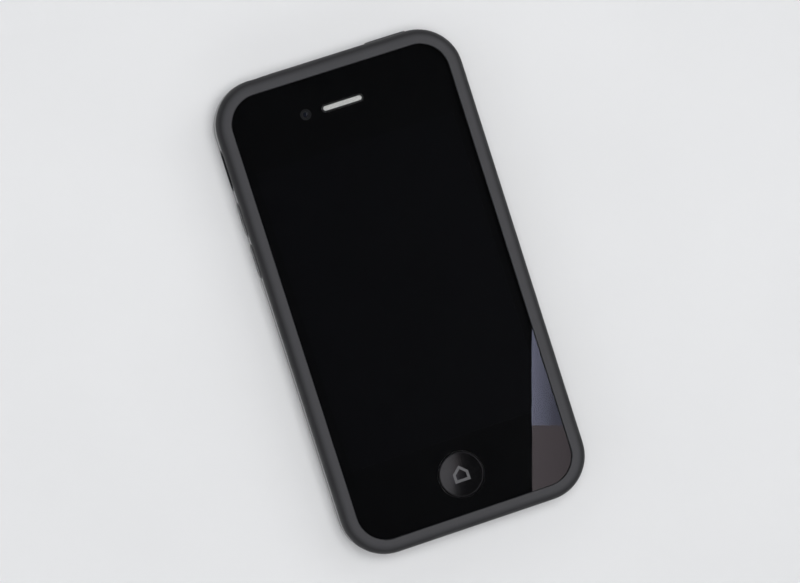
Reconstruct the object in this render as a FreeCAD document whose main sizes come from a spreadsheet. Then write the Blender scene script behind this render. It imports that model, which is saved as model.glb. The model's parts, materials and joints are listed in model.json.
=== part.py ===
"""Pocket touch-screen organiser phone in a two-material bumper case.

The phone lies on its back. X runs to the right, Y towards the earpiece, Z out of the screen, and the
origin is the middle of the plane that the case's rear rim rests on. Every size is in millimetres.
Pieces are built from the driving dimensions in the sheet "dims". A size is written as an expression
of their names, so a change in the sheet moves every piece that depends on it.
"""

import FreeCAD, Part
import math
import os
import re

import Sketcher
from FreeCAD import Placement, Rotation, Vector

DIMENSIONS = {
    # gaps
    "hairline": 0.02,
    "clearance": 0.05,
    "running": 0.1,
    "stack_gap": 0.2,
    # the phone's outline and layers
    "phone_width": 58.6,
    "phone_length": 115.2,
    "phone_thick": 9.3,
    "corner_radius": 9.3,
    "band_height": 5.0,
    "band_wall": 1.2,
    "band_chamfer": 0.25,
    "slit_width": 1.2,
    "top_slit_x": -8.0,
    "side_slit_y": -43.0,
    "glass_inset": 0.7,
    "glass_thick": 1.0,
    "glass_round": 0.3,
    "hole_round": 0.14,
    "rear_glass_thick": 0.8,
    "rim_width": 0.2,
    "rim_drop": 0.2,
    "frame_wall": 1.7,
    "plate_thick": 0.4,
    "plate_level": 0.75,
    "plate_margin": 2.88,
    # the bumper case
    "case_wall": 1.65,
    "case_lip": 0.6,
    "lip_overlap": 2.0,
    "case_round": 2.5,
    "lip_round": 0.25,
    "inlay_height": 5.2,
    "inlay_depth": 0.6,
    "inlay_proud": 0.05,
    "inlay_round": 0.2,
    "window_round": 0.2,
    "window_margin": 1.2,
    "jack_window": 6.8,
    "mic_window": 2.4,
    "switch_window": 10.2,
    "cap_height": 4.0,
    "cap_proud": 0.3,
    "cap_round": 0.45,
    "sign_size": 2.2,
    "sign_stroke": 0.45,
    "sign_depth": 0.15,
    # the screen
    "screen_width": 52.6,
    "screen_length": 79.4,
    "screen_round": 0.5,
    "panel_thick": 1.75,
    "tray_rim": 1.2,
    "tray_wall": 0.3,
    # the earpiece, the front camera and the light sensor
    "earpiece_length": 10.4,
    "earpiece_width": 1.9,
    "earpiece_y": 47.4,
    "mesh_wall": 0.3,
    "module_round": 0.6,
    "module_height": 1.9,
    "earpiece_module": 12.0,
    "front_camera_x": -9.2,
    "front_module": 5.2,
    "front_lens": 3.2,
    "sensor_offset": 4.0,
    "sensor_length": 6.4,
    "sensor_width": 1.8,
    # the round key under the screen
    "home_diameter": 11.0,
    "home_y": -46.2,
    "home_drop": 0.12,
    "home_dish": 0.35,
    "home_land": 0.35,
    "home_gap": 0.15,
    "home_travel": 0.35,
    "flange_width": 0.5,
    "flange_thick": 0.4,
    "home_stem": 3.0,
    "stem_length": 0.6,
    "dome_diameter": 4.4,
    "dome_height": 0.3,
    "dome_plate": 0.45,
    # the side keys
    "key_travel": 0.4,
    "key_proud": 0.6,
    "key_round": 0.25,
    "key_flange": 0.6,
    "volume_up_y": 28.0,
    "volume_down_y": 17.6,
    "volume_diameter": 4.0,
    "volume_cap_length": 8.6,
    "plunger_diameter": 1.4,
    "plunger_length": 0.2,
    "side_dome": 2.4,
    "side_dome_height": 0.65,
    "strip_thick": 0.4,
    "strip_margin": 6.0,
    "switch_y": 40.3,
    "switch_length": 5.8,
    "switch_height": 1.5,
    "switch_travel": 1.2,
    "carrier_thick": 0.75,
    "carrier_margin": 0.5,
    "mark_thick": 0.08,
    "sleep_x": 15.2,
    "sleep_length": 9.8,
    "sleep_height": 2.3,
    "sleep_cap_length": 10.6,
    "sleep_switch_length": 8.0,
    # the sockets, grilles and screws
    "jack_x": -18.3,
    "jack_bore": 3.6,
    "jack_collar": 4.6,
    "jack_depth": 14.0,
    "jack_width": 6.4,
    "jack_height": 4.9,
    "mic_x": -11.8,
    "mic_hole": 1.0,
    "dock_width": 21.8,
    "dock_height": 2.9,
    "dock_depth": 6.0,
    "dock_wall": 0.6,
    "port_round": 0.5,
    "tongue_height": 0.9,
    "contact_pitch": 0.65,
    "contact_width": 0.34,
    "contact_height": 0.08,
    "grille_x": 19.2,
    "grille_length": 6.6,
    "grille_height": 1.8,
    "screw_x": 13.6,
    "screw_head": 2.0,
    "screw_head_height": 0.8,
    "screw_shank": 1.3,
    "screw_length": 3.2,
    "recess_width": 0.28,
    "recess_depth": 0.45,
    "lug_width": 2.8,
    "lug_y": -54.5,
    "speaker_x": 20.6,
    "speaker_y": -48.6,
    "speaker_size": 12.0,
    "speaker_cone": 9.0,
    # the subscriber card's tray and its ejector
    "tray_y": 0.5,
    "tray_shift": 0.55,
    "tray_face": 14.4,
    "tray_height": 2.3,
    "tray_width": 12.9,
    "tray_reach": 19.6,
    "tray_thick": 1.2,
    "tray_floor": 0.3,
    "card_length": 15.0,
    "card_width": 12.0,
    "card_thick": 0.76,
    "card_ledge": 1.0,
    "pin_y": -6.05,
    "pin_hole": 0.9,
    "rod_diameter": 0.8,
    "rail_width": 0.6,
    "rail_length": 12.0,
    "reader_thick": 0.8,
    "reader_width": 15.8,
    "lever_x": 7.5,
    "lever_y": -2.6,
    "lever_length": 12.6,
    "lever_width": 0.6,
    "lever_thick": 0.5,
    "lever_hub": 1.5,
    "lever_pin": 0.7,
    # the rear camera and its lamp
    "lens_x": 18.2,
    "lens_y": 48.0,
    "lens_diameter": 5.4,
    "lens_ring": 7.8,
    "lens_bezel": 0.9,
    "barrel_length": 1.75,
    "barrel_bore_depth": 2.2,
    "barrel_step": 0.5,
    "camera_size": 8.6,
    "flash_x": 11.2,
    "flash_diameter": 3.0,
    # the motor
    "motor_y": 50.0,
    "motor_z": 4.2,
    "motor_diameter": 4.0,
    "motor_x": -12.5,
    "motor_length": 9.0,
    "shaft_diameter": 0.7,
    "shaft_seat": 2.8,
    "weight_length": 3.2,
    "weight_gap": 0.6,
    "weight_hub": 0.55,
    # the battery, the board and the flexible circuits
    "battery_x": -9.7,
    "battery_width": 31.4,
    "battery_length": 80.0,
    "battery_thick": 3.8,
    "battery_round": 0.6,
    "battery_corner": 1.5,
    "board_x": 17.6,
    "board_y": 1.5,
    "board_width": 20.0,
    "board_length": 83.0,
    "board_thick": 0.8,
    "board_level": 2.35,
    "board_hole": 1.4,
    "hole_inset_x": 1.8,
    "hole_inset_y": 3.0,
    "post_diameter": 2.6,
    "board_screw_head": 2.3,
    "board_screw_shank": 1.0,
    "can_wall": 0.2,
    "can_width": 18.0,
    "tab_length": 5.0,
    "flex_thick": 0.1,
    "flex_width": 4.0,
    "flex_reach": 2.6,
    "display_flex_x": 13.0,
    "dock_flex_x": 9.7,
}

# Levels above the table, as expressions of the dimensions.
CASE_TOP = "(phone_thick + 2 * case_lip)"
MIDDLE = "(case_lip + phone_thick / 2)"
BAND_BOTTOM = f"({MIDDLE} - band_height / 2)"
BAND_TOP = f"({MIDDLE} + band_height / 2)"
GLASS_TOP = "(case_lip + phone_thick)"
GLASS_BOTTOM = f"({GLASS_TOP} - glass_thick)"
REAR_SEAT = "(case_lip + rear_glass_thick)"
REAR_INSIDE = f"({REAR_SEAT} + plate_thick)"
PLATE_BOTTOM = f"({MIDDLE} + plate_level)"
PLATE_TOP = f"({PLATE_BOTTOM} + plate_thick)"
BOARD_BOTTOM = f"({MIDDLE} - board_level)"
BOARD_TOP = f"({BOARD_BOTTOM} + board_thick)"

# How far out the sides stand, as expressions.
SIDE = "(phone_width / 2)"
END = "(phone_length / 2)"
CASE_SIDE = f"({SIDE} + case_wall)"
CASE_END = f"({END} + case_wall)"

PAST = 1  # how far a cut runs past the surface that it opens
FAR = "phone_length"  # beyond every surface of the phone

doc = FreeCAD.newDocument("organiser")
sheet = doc.addObject("Spreadsheet::Sheet", "dims")
for row, (alias, number) in enumerate(DIMENSIONS.items(), start=1):
    sheet.set(f"A{row}", alias)
    sheet.set(f"B{row}", str(number))
    sheet.setAlias(f"B{row}", alias)
doc.recompute()


# ---------------------------------------------------------------- sizes, outlines and features


def bound(size):
    """The expression with each dimension's name pointing at its cell in the sheet."""

    def cell(word):
        return f"dims.{word[0]}" if word[0] in DIMENSIONS else word[0]

    return re.sub(r"[a-z_]+", cell, str(size))


def value(size):
    """The expression's value now, used to draw a sketch near its final shape before it is solved."""
    return float(sheet.evalExpression(bound(size)))


def constrain(sketch, kind, *places, size=None):
    """Add one constraint. If it has a size, the sheet drives it."""
    if size is None:
        sketch.addConstraint(Sketcher.Constraint(kind, *places))
        return
    index = sketch.addConstraint(Sketcher.Constraint(kind, *places, value(size)))
    sketch.setExpression(f"Constraints[{index}]", bound(size))


ORIGIN = (-1, 1)
START, FINISH, CENTRE = 1, 2, 3


def place(sketch, point, x, y):
    """Hold a point of the sketch at (x, y) from its origin."""
    constrain(sketch, "DistanceX", *ORIGIN, *point, size=x)
    constrain(sketch, "DistanceY", *ORIGIN, *point, size=y)


def add_line(sketch, start, finish):
    return sketch.addGeometry(Part.LineSegment(Vector(*start, 0), Vector(*finish, 0)), False)


def add_arc(sketch, centre, radius, first_turn):
    """A quarter circle, anticlockwise from first_turn quarter turns."""
    circle = Part.Circle(Vector(*centre, 0), Vector(0, 0, 1), radius)
    start = first_turn * math.pi / 2
    return sketch.addGeometry(Part.ArcOfCircle(circle, start, start + math.pi / 2), False)


def rounded(width, length, radius, x="0", y="0"):
    """A rectangle with round corners, centred on (x, y)."""

    def draw(sketch):
        w, h, r = value(width) / 2, value(length) / 2, value(radius)
        cx, cy = value(x), value(y)
        right, left, top, bottom = cx + w, cx - w, cy + h, cy - h
        arcs = [
            add_arc(sketch, (right - r, top - r), r, 0),
            add_arc(sketch, (left + r, top - r), r, 1),
            add_arc(sketch, (left + r, bottom + r), r, 2),
            add_arc(sketch, (right - r, bottom + r), r, 3),
        ]
        lines = [
            add_line(sketch, (right - r, top), (left + r, top)),
            add_line(sketch, (left, top - r), (left, bottom + r)),
            add_line(sketch, (left + r, bottom), (right - r, bottom)),
            add_line(sketch, (right, bottom + r), (right, top - r)),
        ]
        for i, line in enumerate(lines):
            constrain(sketch, "Tangent", arcs[i], FINISH, line, START)
            constrain(sketch, "Tangent", line, FINISH, arcs[(i + 1) % 4], START)
            constrain(sketch, "Horizontal" if i % 2 == 0 else "Vertical", line)
        for arc in arcs[1:]:
            constrain(sketch, "Equal", arcs[0], arc)
        constrain(sketch, "Radius", arcs[0], size=radius)
        constrain(sketch, "DistanceX", arcs[2], CENTRE, arcs[0], CENTRE, size=f"{width} - 2 * ({radius})")
        constrain(sketch, "DistanceY", arcs[2], CENTRE, arcs[0], CENTRE, size=f"{length} - 2 * ({radius})")
        place(
            sketch,
            (arcs[0], CENTRE),
            f"({x}) + ({width}) / 2 - ({radius})",
            f"({y}) + ({length}) / 2 - ({radius})",
        )

    return draw


def slot(length, height, x="0", y="0"):
    """An upright-ended slot along the sketch's first axis, centred on (x, y)."""

    def draw(sketch):
        r, reach = value(height) / 2, (value(length) - value(height)) / 2
        cx, cy = value(x), value(y)
        ends = []
        for side, first in ((1, -math.pi / 2), (-1, math.pi / 2)):
            circle = Part.Circle(Vector(cx + side * reach, cy, 0), Vector(0, 0, 1), r)
            ends.append(sketch.addGeometry(Part.ArcOfCircle(circle, first, first + math.pi), False))
        top = add_line(sketch, (cx + reach, cy + r), (cx - reach, cy + r))
        bottom = add_line(sketch, (cx - reach, cy - r), (cx + reach, cy - r))
        constrain(sketch, "Tangent", ends[0], FINISH, top, START)
        constrain(sketch, "Tangent", top, FINISH, ends[1], START)
        constrain(sketch, "Tangent", ends[1], FINISH, bottom, START)
        constrain(sketch, "Tangent", bottom, FINISH, ends[0], START)
        constrain(sketch, "Horizontal", top)
        constrain(sketch, "Radius", ends[0], size=f"({height}) / 2")
        constrain(sketch, "DistanceX", ends[1], CENTRE, ends[0], CENTRE, size=f"({length}) - ({height})")
        place(sketch, (ends[0], CENTRE), f"({x}) + (({length}) - ({height})) / 2", y)

    return draw


def circle(diameter, x="0", y="0"):
    """A circle centred on (x, y)."""

    def draw(sketch):
        centre = Vector(value(x), value(y), 0)
        round_one = sketch.addGeometry(Part.Circle(centre, Vector(0, 0, 1), value(diameter) / 2), False)
        constrain(sketch, "Diameter", round_one, size=diameter)
        place(sketch, (round_one, CENTRE), x, y)

    return draw


class Piece:
    """One solid body made by features, with a short call for each kind that these parts need.

    A sketch lies on the XY, XZ or YZ plane at a level, and a feature runs from its start to its
    finish along the axis across that plane, always towards the larger coordinate.
    """

    def __init__(self, label):
        self.body = doc.addObject("PartDesign::Body", label)
        self.body.Label = label

    def sketch(self, plane, level, outlines):
        drawing = self.body.newObject("Sketcher::SketchObject", f"{self.body.Name}_sketch")
        support = next(f for f in self.body.Origin.OriginFeatures if f.Role == f"{plane}_Plane")
        drawing.AttachmentSupport = [(support, "")]
        drawing.MapMode = "FlatFace"
        flip = "-1" if plane == "XZ" else "1"  # this plane's own normal points along -Y
        drawing.setExpression("AttachmentOffset.Base.z", bound(f"{flip} * ({level})"))
        for outline in outlines:
            outline(drawing)
        return drawing

    def pad(self, plane, start, finish, *outlines):
        feature = self.body.newObject("PartDesign::Pad", f"{self.body.Name}_pad")
        feature.Profile = self.sketch(plane, start, outlines)
        feature.setExpression("Length", bound(f"({finish}) - ({start})"))
        feature.Reversed = plane == "XZ"
        doc.recompute()
        return self

    def pocket(self, plane, start, finish, *outlines):
        before = self.body.Shape.Volume
        feature = self.body.newObject("PartDesign::Pocket", f"{self.body.Name}_pocket")
        feature.Profile = self.sketch(plane, start, outlines)
        feature.setExpression("Length", bound(f"({finish}) - ({start})"))
        feature.Reversed = plane != "XZ"
        doc.recompute()
        if not self.body.Shape.Volume < before:
            raise RuntimeError(f"a pocket of {self.body.Label} removes nothing")
        return self

    def _dress(self, kind, size_name, size, chosen):
        edges = self.body.Shape.Edges
        names = [f"Edge{i}" for i, edge in enumerate(edges, start=1) if chosen(samples(edge))]
        if not names:
            raise RuntimeError(f"no edge of {self.body.Label} is there to dress")
        tip = self.body.Tip
        feature = self.body.newObject(f"PartDesign::{kind}", f"{self.body.Name}_{kind.lower()}")
        feature.Base = (tip, names)
        feature.setExpression(size_name, bound(size))
        doc.recompute()
        return self

    def fillet(self, radius, chosen):
        return self._dress("Fillet", "Radius", radius, chosen)

    def chamfer(self, size, chosen):
        return self._dress("Chamfer", "Size", size, chosen)


def samples(edge):
    """Three points of an edge: its ends and a point between."""
    first, last = edge.FirstParameter, edge.LastParameter
    return [edge.valueAt(first), edge.valueAt(0.37 * first + 0.63 * last), edge.valueAt(last)]


def flat_at(axis, *levels):
    """A test for edges that lie wholly at one of the levels along the axis."""
    numbers = [value(level) for level in levels]
    return lambda points: any(all(abs(getattr(p, axis) - n) < 1e-4 for p in points) for n in numbers)


def within(x=None, y=None):
    """A test for edges that stay inside the given distance from the middle."""
    limits = [(axis, value(size)) for axis, size in (("x", x), ("y", y)) if size is not None]
    return lambda points: all(abs(getattr(p, axis)) < limit for p in points for axis, limit in limits)


def on_outline(inset):
    """A test for edges that lie on the phone's outline moved in by inset."""
    radius, depth = value("corner_radius"), value(inset)
    flat_x, flat_y = value(SIDE) - radius, value(END) - radius

    def depth_of(point):
        return radius - math.hypot(max(abs(point.x) - flat_x, 0), max(abs(point.y) - flat_y, 0))

    return lambda points: all(abs(depth_of(point) - depth) < 1e-3 for point in points)


def both(*tests):
    return lambda points: all(test(points) for test in tests)


def box(label, low, high):
    """A Part::Box between two corners, each given as three expressions."""
    made = doc.addObject("Part::Box", label)
    for name, axis, start, finish in zip(("Length", "Width", "Height"), "xyz", low, high):
        made.setExpression(name, bound(f"({finish}) - ({start})"))
        made.setExpression(f"Placement.Base.{axis}", bound(start))
    return made


def rod(label, diameter, length, at, along="z"):
    """A Part::Cylinder that starts at a point and runs along an axis."""
    made = doc.addObject("Part::Cylinder", label)
    turn = {"z": Rotation(), "x": Rotation(Vector(0, 1, 0), 90), "y": Rotation(Vector(1, 0, 0), -90)}[along]
    made.Placement = Placement(Vector(), turn)
    made.setExpression("Radius", bound(f"({diameter}) / 2"))
    made.setExpression("Height", bound(length))
    for axis, start in zip("xyz", at):
        made.setExpression(f"Placement.Base.{axis}", bound(start))
    return made


def boolean(kind, label, base, tool):
    """Part::Cut or Part::Common of two objects."""
    made = doc.addObject(f"Part::{kind}", label)
    made.Base, made.Tool = base, tool
    return made


def joined(label, pieces):
    """Part::MultiFuse of objects that touch or overlap."""
    made = doc.addObject("Part::MultiFuse", label)
    made.Shapes = list(pieces)
    return made


def group(label, pieces):
    """Part::Compound of separate solids that share one node."""
    made = doc.addObject("Part::Compound", label)
    made.Links = list(pieces)
    return made


nodes = []


def keep(*made):
    """Add finished pieces to the assembly. Each one's Label names its file."""
    nodes.extend(getattr(one, "body", one) for one in made)


# ---------------------------------------------------------------- the bumper case


def phone_outline(inset="0"):
    """The steel band's outline, smaller by inset all round."""
    width, length = f"phone_width - 2 * ({inset})", f"phone_length - 2 * ({inset})"
    return rounded(width, length, f"corner_radius - ({inset})")


CAP_WINDOW = "cap_height + 2 * running"
GRILLE_WINDOW = ("grille_length + window_margin", "grille_height + window_margin")
CASE_WINDOWS = (
    # wall, centre along it, length, height; each is centred on the phone's thickness
    ("left", "switch_y", "switch_window", CAP_WINDOW),
    ("left", "volume_up_y", "volume_cap_length + 2 * running", CAP_WINDOW),
    ("left", "volume_down_y", "volume_cap_length + 2 * running", CAP_WINDOW),
    ("right", "tray_y", "tray_face + 2 * window_margin", "tray_height + window_margin"),
    ("top", "sleep_x", "sleep_cap_length + 2 * running", CAP_WINDOW),
    ("bottom", "0", "dock_width + 2 * window_margin", "dock_height + window_margin"),
    ("bottom", "grille_x", *GRILLE_WINDOW),
    ("bottom", "-grille_x", *GRILLE_WINDOW),
)


def through_wall(side, inner, outer):
    """The sketch plane, start and finish of a cut through one wall, past it on both sides."""
    inner, outer = f"({inner}) - {PAST}", f"({outer}) + {PAST}"
    plane = "YZ" if side in ("left", "right") else "XZ"
    if side in ("left", "bottom"):
        return plane, f"-({outer})", f"-({inner})"
    return plane, inner, outer


def cut_windows(piece, jack_window):
    """Open the case's side wall for the keys, the tray, the sockets and the grilles."""
    for side, across, length, height in CASE_WINDOWS:
        wall = (SIDE, CASE_SIDE) if side in ("left", "right") else (END, CASE_END)
        piece.pocket(*through_wall(side, *wall), slot(length, height, across, MIDDLE))
    piece.pocket(*through_wall("top", END, CASE_END), jack_window, circle("mic_window", "mic_x", MIDDLE))


def case_frame():
    """Soft frame: a lip over the front and rear glass, and a groove round the side for the hard inlay."""
    frame = Piece("case_frame")
    frame.pad("XY", "0", CASE_TOP, phone_outline("-case_wall"))
    frame.fillet("case_round", flat_at("z", "0", CASE_TOP))
    frame.pocket("XY", "case_lip", GLASS_TOP, phone_outline("glass_inset - rim_width - clearance"))
    frame.pocket("XY", BAND_BOTTOM, BAND_TOP, phone_outline("-clearance"))
    frame.pocket("XY", f"-{PAST}", f"{CASE_TOP} + {PAST}", phone_outline("lip_overlap"))
    frame.fillet("lip_round", both(on_outline("lip_overlap"), flat_at("z", "0", CASE_TOP)))
    frame.pocket(
        "XY",
        f"{MIDDLE} - inlay_height / 2",
        f"{MIDDLE} + inlay_height / 2",
        phone_outline(f"-case_wall - {PAST}"),
        phone_outline("inlay_depth - case_wall"),
    )
    cut_windows(frame, circle("jack_window", "jack_x", MIDDLE))
    return frame


def window_edge(points):
    """True for an edge clear of the inlay's own top and bottom edges."""
    reach = value("inlay_height / 2 - clearance - inlay_round - hairline")
    return all(abs(p.z - value(MIDDLE)) < reach for p in points)


def case_band():
    """Hard inlay round the frame's groove. It stands a hair proud, and it is open at the jack."""
    band = Piece("case_band")
    bottom = f"{MIDDLE} - inlay_height / 2 + clearance"
    top = f"{MIDDLE} + inlay_height / 2 - clearance"
    outer, inner = "-case_wall - inlay_proud", "inlay_depth - case_wall - clearance"
    band.pad("XY", bottom, top, phone_outline(outer), phone_outline(inner))
    band.fillet("inlay_round", both(flat_at("z", bottom, top), on_outline(outer)))
    cut_windows(band, rounded("jack_window", f"inlay_height + {PAST}", "port_round", "jack_x", MIDDLE))
    band.fillet("window_round", both(on_outline(outer), window_edge))
    return band


def key_cap(label, plane, across, length, inner, outer, sign=()):
    """A hard cap that sits in a case window and pushes the metal key under it. Its sign is sunk in."""
    cap = Piece(label)
    start, finish = sorted((inner, outer), key=value)
    cap.pad(plane, start, finish, slot(length, "cap_height", across, MIDDLE))
    cap.fillet("cap_round", flat_at("y" if plane == "XZ" else "x", outer))
    for width, height in sign:
        stroke = rounded(width, height, "sign_stroke / 4", across, MIDDLE)
        cap.pocket(plane, f"{outer} - {PAST}", f"{outer} + sign_depth", stroke)
    return cap


def case():
    on_left = (f"-{SIDE} - key_proud - clearance", f"-{CASE_SIDE} - cap_proud")
    on_top = (f"{END} + key_proud + clearance", f"{CASE_END} + cap_proud")
    minus, upright = ("sign_size", "sign_stroke"), ("sign_stroke", "sign_size")
    keep(
        case_frame(),
        case_band(),
        key_cap("volume_up_cap", "YZ", "volume_up_y", "volume_cap_length", *on_left, (minus, upright)),
        key_cap("volume_down_cap", "YZ", "volume_down_y", "volume_cap_length", *on_left, (minus,)),
        key_cap("sleep_cap", "XZ", "sleep_x", "sleep_cap_length", *on_top),
    )


# ---------------------------------------------------------------- the steel antenna band


def antenna_ring():
    """The band as one ring with every opening. It is cut into three aerials and their insulators."""
    ring = Piece("antenna_ring")
    ring.pad("XY", BAND_BOTTOM, BAND_TOP, phone_outline(), phone_outline("band_wall"))
    ring.chamfer("band_chamfer", both(flat_at("z", BAND_BOTTOM, BAND_TOP), on_outline("0")))
    side_wall, end_wall = (f"{SIDE} - band_wall", SIDE), (f"{END} - band_wall", END)
    slider_slot = ("switch_length + 2 * running", "switch_height + switch_travel + 2 * running")
    ring.pocket(
        *through_wall("left", *side_wall),
        circle("volume_diameter + 2 * running", "volume_up_y", MIDDLE),
        circle("volume_diameter + 2 * running", "volume_down_y", MIDDLE),
        rounded(*slider_slot, "port_round", "switch_y", MIDDLE),
    )
    ring.pocket(
        *through_wall("right", *side_wall),
        slot("tray_face + 2 * running", "tray_height + 2 * running", "tray_y", MIDDLE),
    )
    ring.pocket(
        *through_wall("top", *end_wall),
        circle("jack_collar + 2 * clearance", "jack_x", MIDDLE),
        circle("mic_hole", "mic_x", MIDDLE),
        slot("sleep_length + 2 * running", "sleep_height + 2 * running", "sleep_x", MIDDLE),
    )
    ring.pocket(
        *through_wall("bottom", *end_wall),
        rounded("dock_width + 2 * clearance", "dock_height + 2 * clearance", "port_round", "0", MIDDLE),
        circle("screw_head + 2 * clearance", "screw_x", MIDDLE),
        circle("screw_head + 2 * clearance", "-screw_x", MIDDLE),
        slot("grille_length", "grille_height", "grille_x", MIDDLE),
        slot("grille_length", "grille_height", "-grille_x", MIDDLE),
    )
    return ring.body


def antenna_band():
    """Slits at the top and on both sides part the ring. An insulator fills each slit."""
    ring = antenna_ring()
    low, high = "0", CASE_TOP
    slit_low, slit_high = "side_slit_y - slit_width / 2", "side_slit_y + slit_width / 2"
    slit_left, slit_right = "top_slit_x - slit_width / 2", "top_slit_x + slit_width / 2"
    fill_low, fill_high = f"{slit_low} + hairline", f"{slit_high} - hairline"
    fills = [
        box("fill_top", (f"{slit_left} + hairline", "0", low), (f"{slit_right} - hairline", FAR, high)),
        box("fill_left", (f"-{FAR}", fill_low, low), ("0", fill_high, high)),
        box("fill_right", ("0", fill_low, low), (FAR, fill_high, high)),
    ]
    regions = {
        "antenna_band_bottom": box("bottom_region", (f"-{FAR}", f"-{FAR}", low), (FAR, slit_low, high)),
        "antenna_band_left": box("left_region", (f"-{FAR}", slit_high, low), (slit_left, FAR, high)),
        "antenna_band_right": box("right_region", (slit_right, slit_high, low), (FAR, FAR, high)),
        "band_insulators": joined("insulator_region", fills),
    }
    for label, region in regions.items():
        keep(boolean("Common", label, ring, region))


# ---------------------------------------------------------------- the front of the phone


def front_bezel():
    """Plastic rim that holds the front glass over the band."""
    bezel = Piece("front_bezel")
    outer = "glass_inset - rim_width"
    bezel.pad("XY", BAND_TOP, f"{GLASS_TOP} - rim_drop", phone_outline(outer))
    seat = phone_outline("glass_inset - clearance")
    bezel.pocket("XY", f"{GLASS_BOTTOM} - hairline", f"{GLASS_TOP} + {PAST}", seat)
    bezel.pocket("XY", f"{BAND_TOP} - {PAST}", GLASS_TOP, phone_outline(f"{outer} + frame_wall"))
    return bezel


def front_glass():
    glass = Piece("front_glass")
    glass.pad("XY", GLASS_BOTTOM, GLASS_TOP, phone_outline("glass_inset"))
    glass.pocket(
        "XY",
        f"{GLASS_BOTTOM} - {PAST}",
        f"{GLASS_TOP} + {PAST}",
        slot("earpiece_length", "earpiece_width", "0", "earpiece_y"),
        circle("home_diameter + 2 * home_gap", "0", "home_y"),
    )
    glass.fillet("glass_round", both(flat_at("z", GLASS_TOP), on_outline("glass_inset")))
    openings = within("home_diameter", f"{END} - 2 * glass_inset")
    glass.fillet("hole_round", both(flat_at("z", GLASS_TOP), openings))
    return glass


def display():
    """The screen's panel in its steel tray, and the flexible circuit that drops to the board."""
    panel_top = f"({GLASS_BOTTOM} - clearance)"
    panel_bottom = f"({panel_top} - panel_thick)"
    panel = Piece("display_panel")
    panel.pad("XY", panel_bottom, panel_top, rounded("screen_width", "screen_length", "screen_round"))
    around, inside = "2 * (clearance + tray_wall)", "2 * clearance"
    tray = Piece("display_tray")
    tray.pad(
        "XY",
        f"{PLATE_TOP} + running",
        f"{panel_bottom} + tray_rim",
        rounded(f"screen_width + {around}", f"screen_length + {around}", "screen_round + tray_wall"),
    )
    tray.pocket(
        "XY",
        f"{panel_bottom} - hairline",
        panel_top,
        rounded(f"screen_width + {inside}", f"screen_length + {inside}", "screen_round"),
    )
    flex_low = f"({PLATE_TOP} + stack_gap)"
    left, right = "display_flex_x - flex_width / 2", "display_flex_x + flex_width / 2"
    start, end = "screen_length / 2 + port_round", "screen_length / 2 + flex_reach"
    drop_start = (left, f"{end} - flex_thick", f"{BOARD_TOP} + clearance")
    flex = joined(
        "display_flex",
        [
            box("flex_flat", (left, start, flex_low), (right, end, f"{flex_low} + flex_thick")),
            box("flex_drop", drop_start, (right, end, flex_low)),
        ],
    )
    keep(panel, tray, flex)


def earpiece():
    """Screen in the glass's slot, and the small speaker under it."""
    top = f"({GLASS_TOP} - glass_round)"
    mesh = Piece("earpiece_mesh")
    outside_size = ("earpiece_length - 2 * clearance", "earpiece_width - 2 * clearance")
    inside_size = (f"{size} - 2 * mesh_wall" for size in outside_size)
    mesh.pad("XY", f"{GLASS_BOTTOM} + clearance", top, slot(*outside_size, "0", "earpiece_y"))
    mesh.pocket("XY", GLASS_BOTTOM, f"{top} - stack_gap", slot(*inside_size, "0", "earpiece_y"))
    speaker_top = f"{GLASS_BOTTOM} - running"
    speaker = Piece("earpiece_speaker")
    speaker.pad(
        "XY",
        f"{speaker_top} - module_height",
        speaker_top,
        rounded("earpiece_module", "front_module", "module_round", "0", "earpiece_y"),
    )
    mouth = slot("earpiece_length - earpiece_width / 2", "earpiece_width / 2", "0", "earpiece_y")
    speaker.pocket("XY", f"{speaker_top} - port_round", GLASS_BOTTOM, mouth)
    keep(mesh, speaker)


def front_sensors():
    """The front camera beside the earpiece, and the light sensor above it."""
    shoulder, top = f"{GLASS_BOTTOM} - module_round", f"{GLASS_BOTTOM} - clearance"
    at = ("front_camera_x", "earpiece_y")
    camera = Piece("front_camera")
    body = rounded("front_module", "front_module", "module_round", *at)
    camera.pad("XY", f"{GLASS_BOTTOM} - running - module_height", shoulder, body)
    camera.pad("XY", shoulder, top, circle("front_lens", *at))
    sensor = Piece("light_sensor")
    window = rounded("sensor_length", "sensor_width", "module_round", "0", "earpiece_y + sensor_offset")
    sensor.pad("XY", f"{top} - module_height / 2", top, window)
    keep(camera, sensor)


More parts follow.
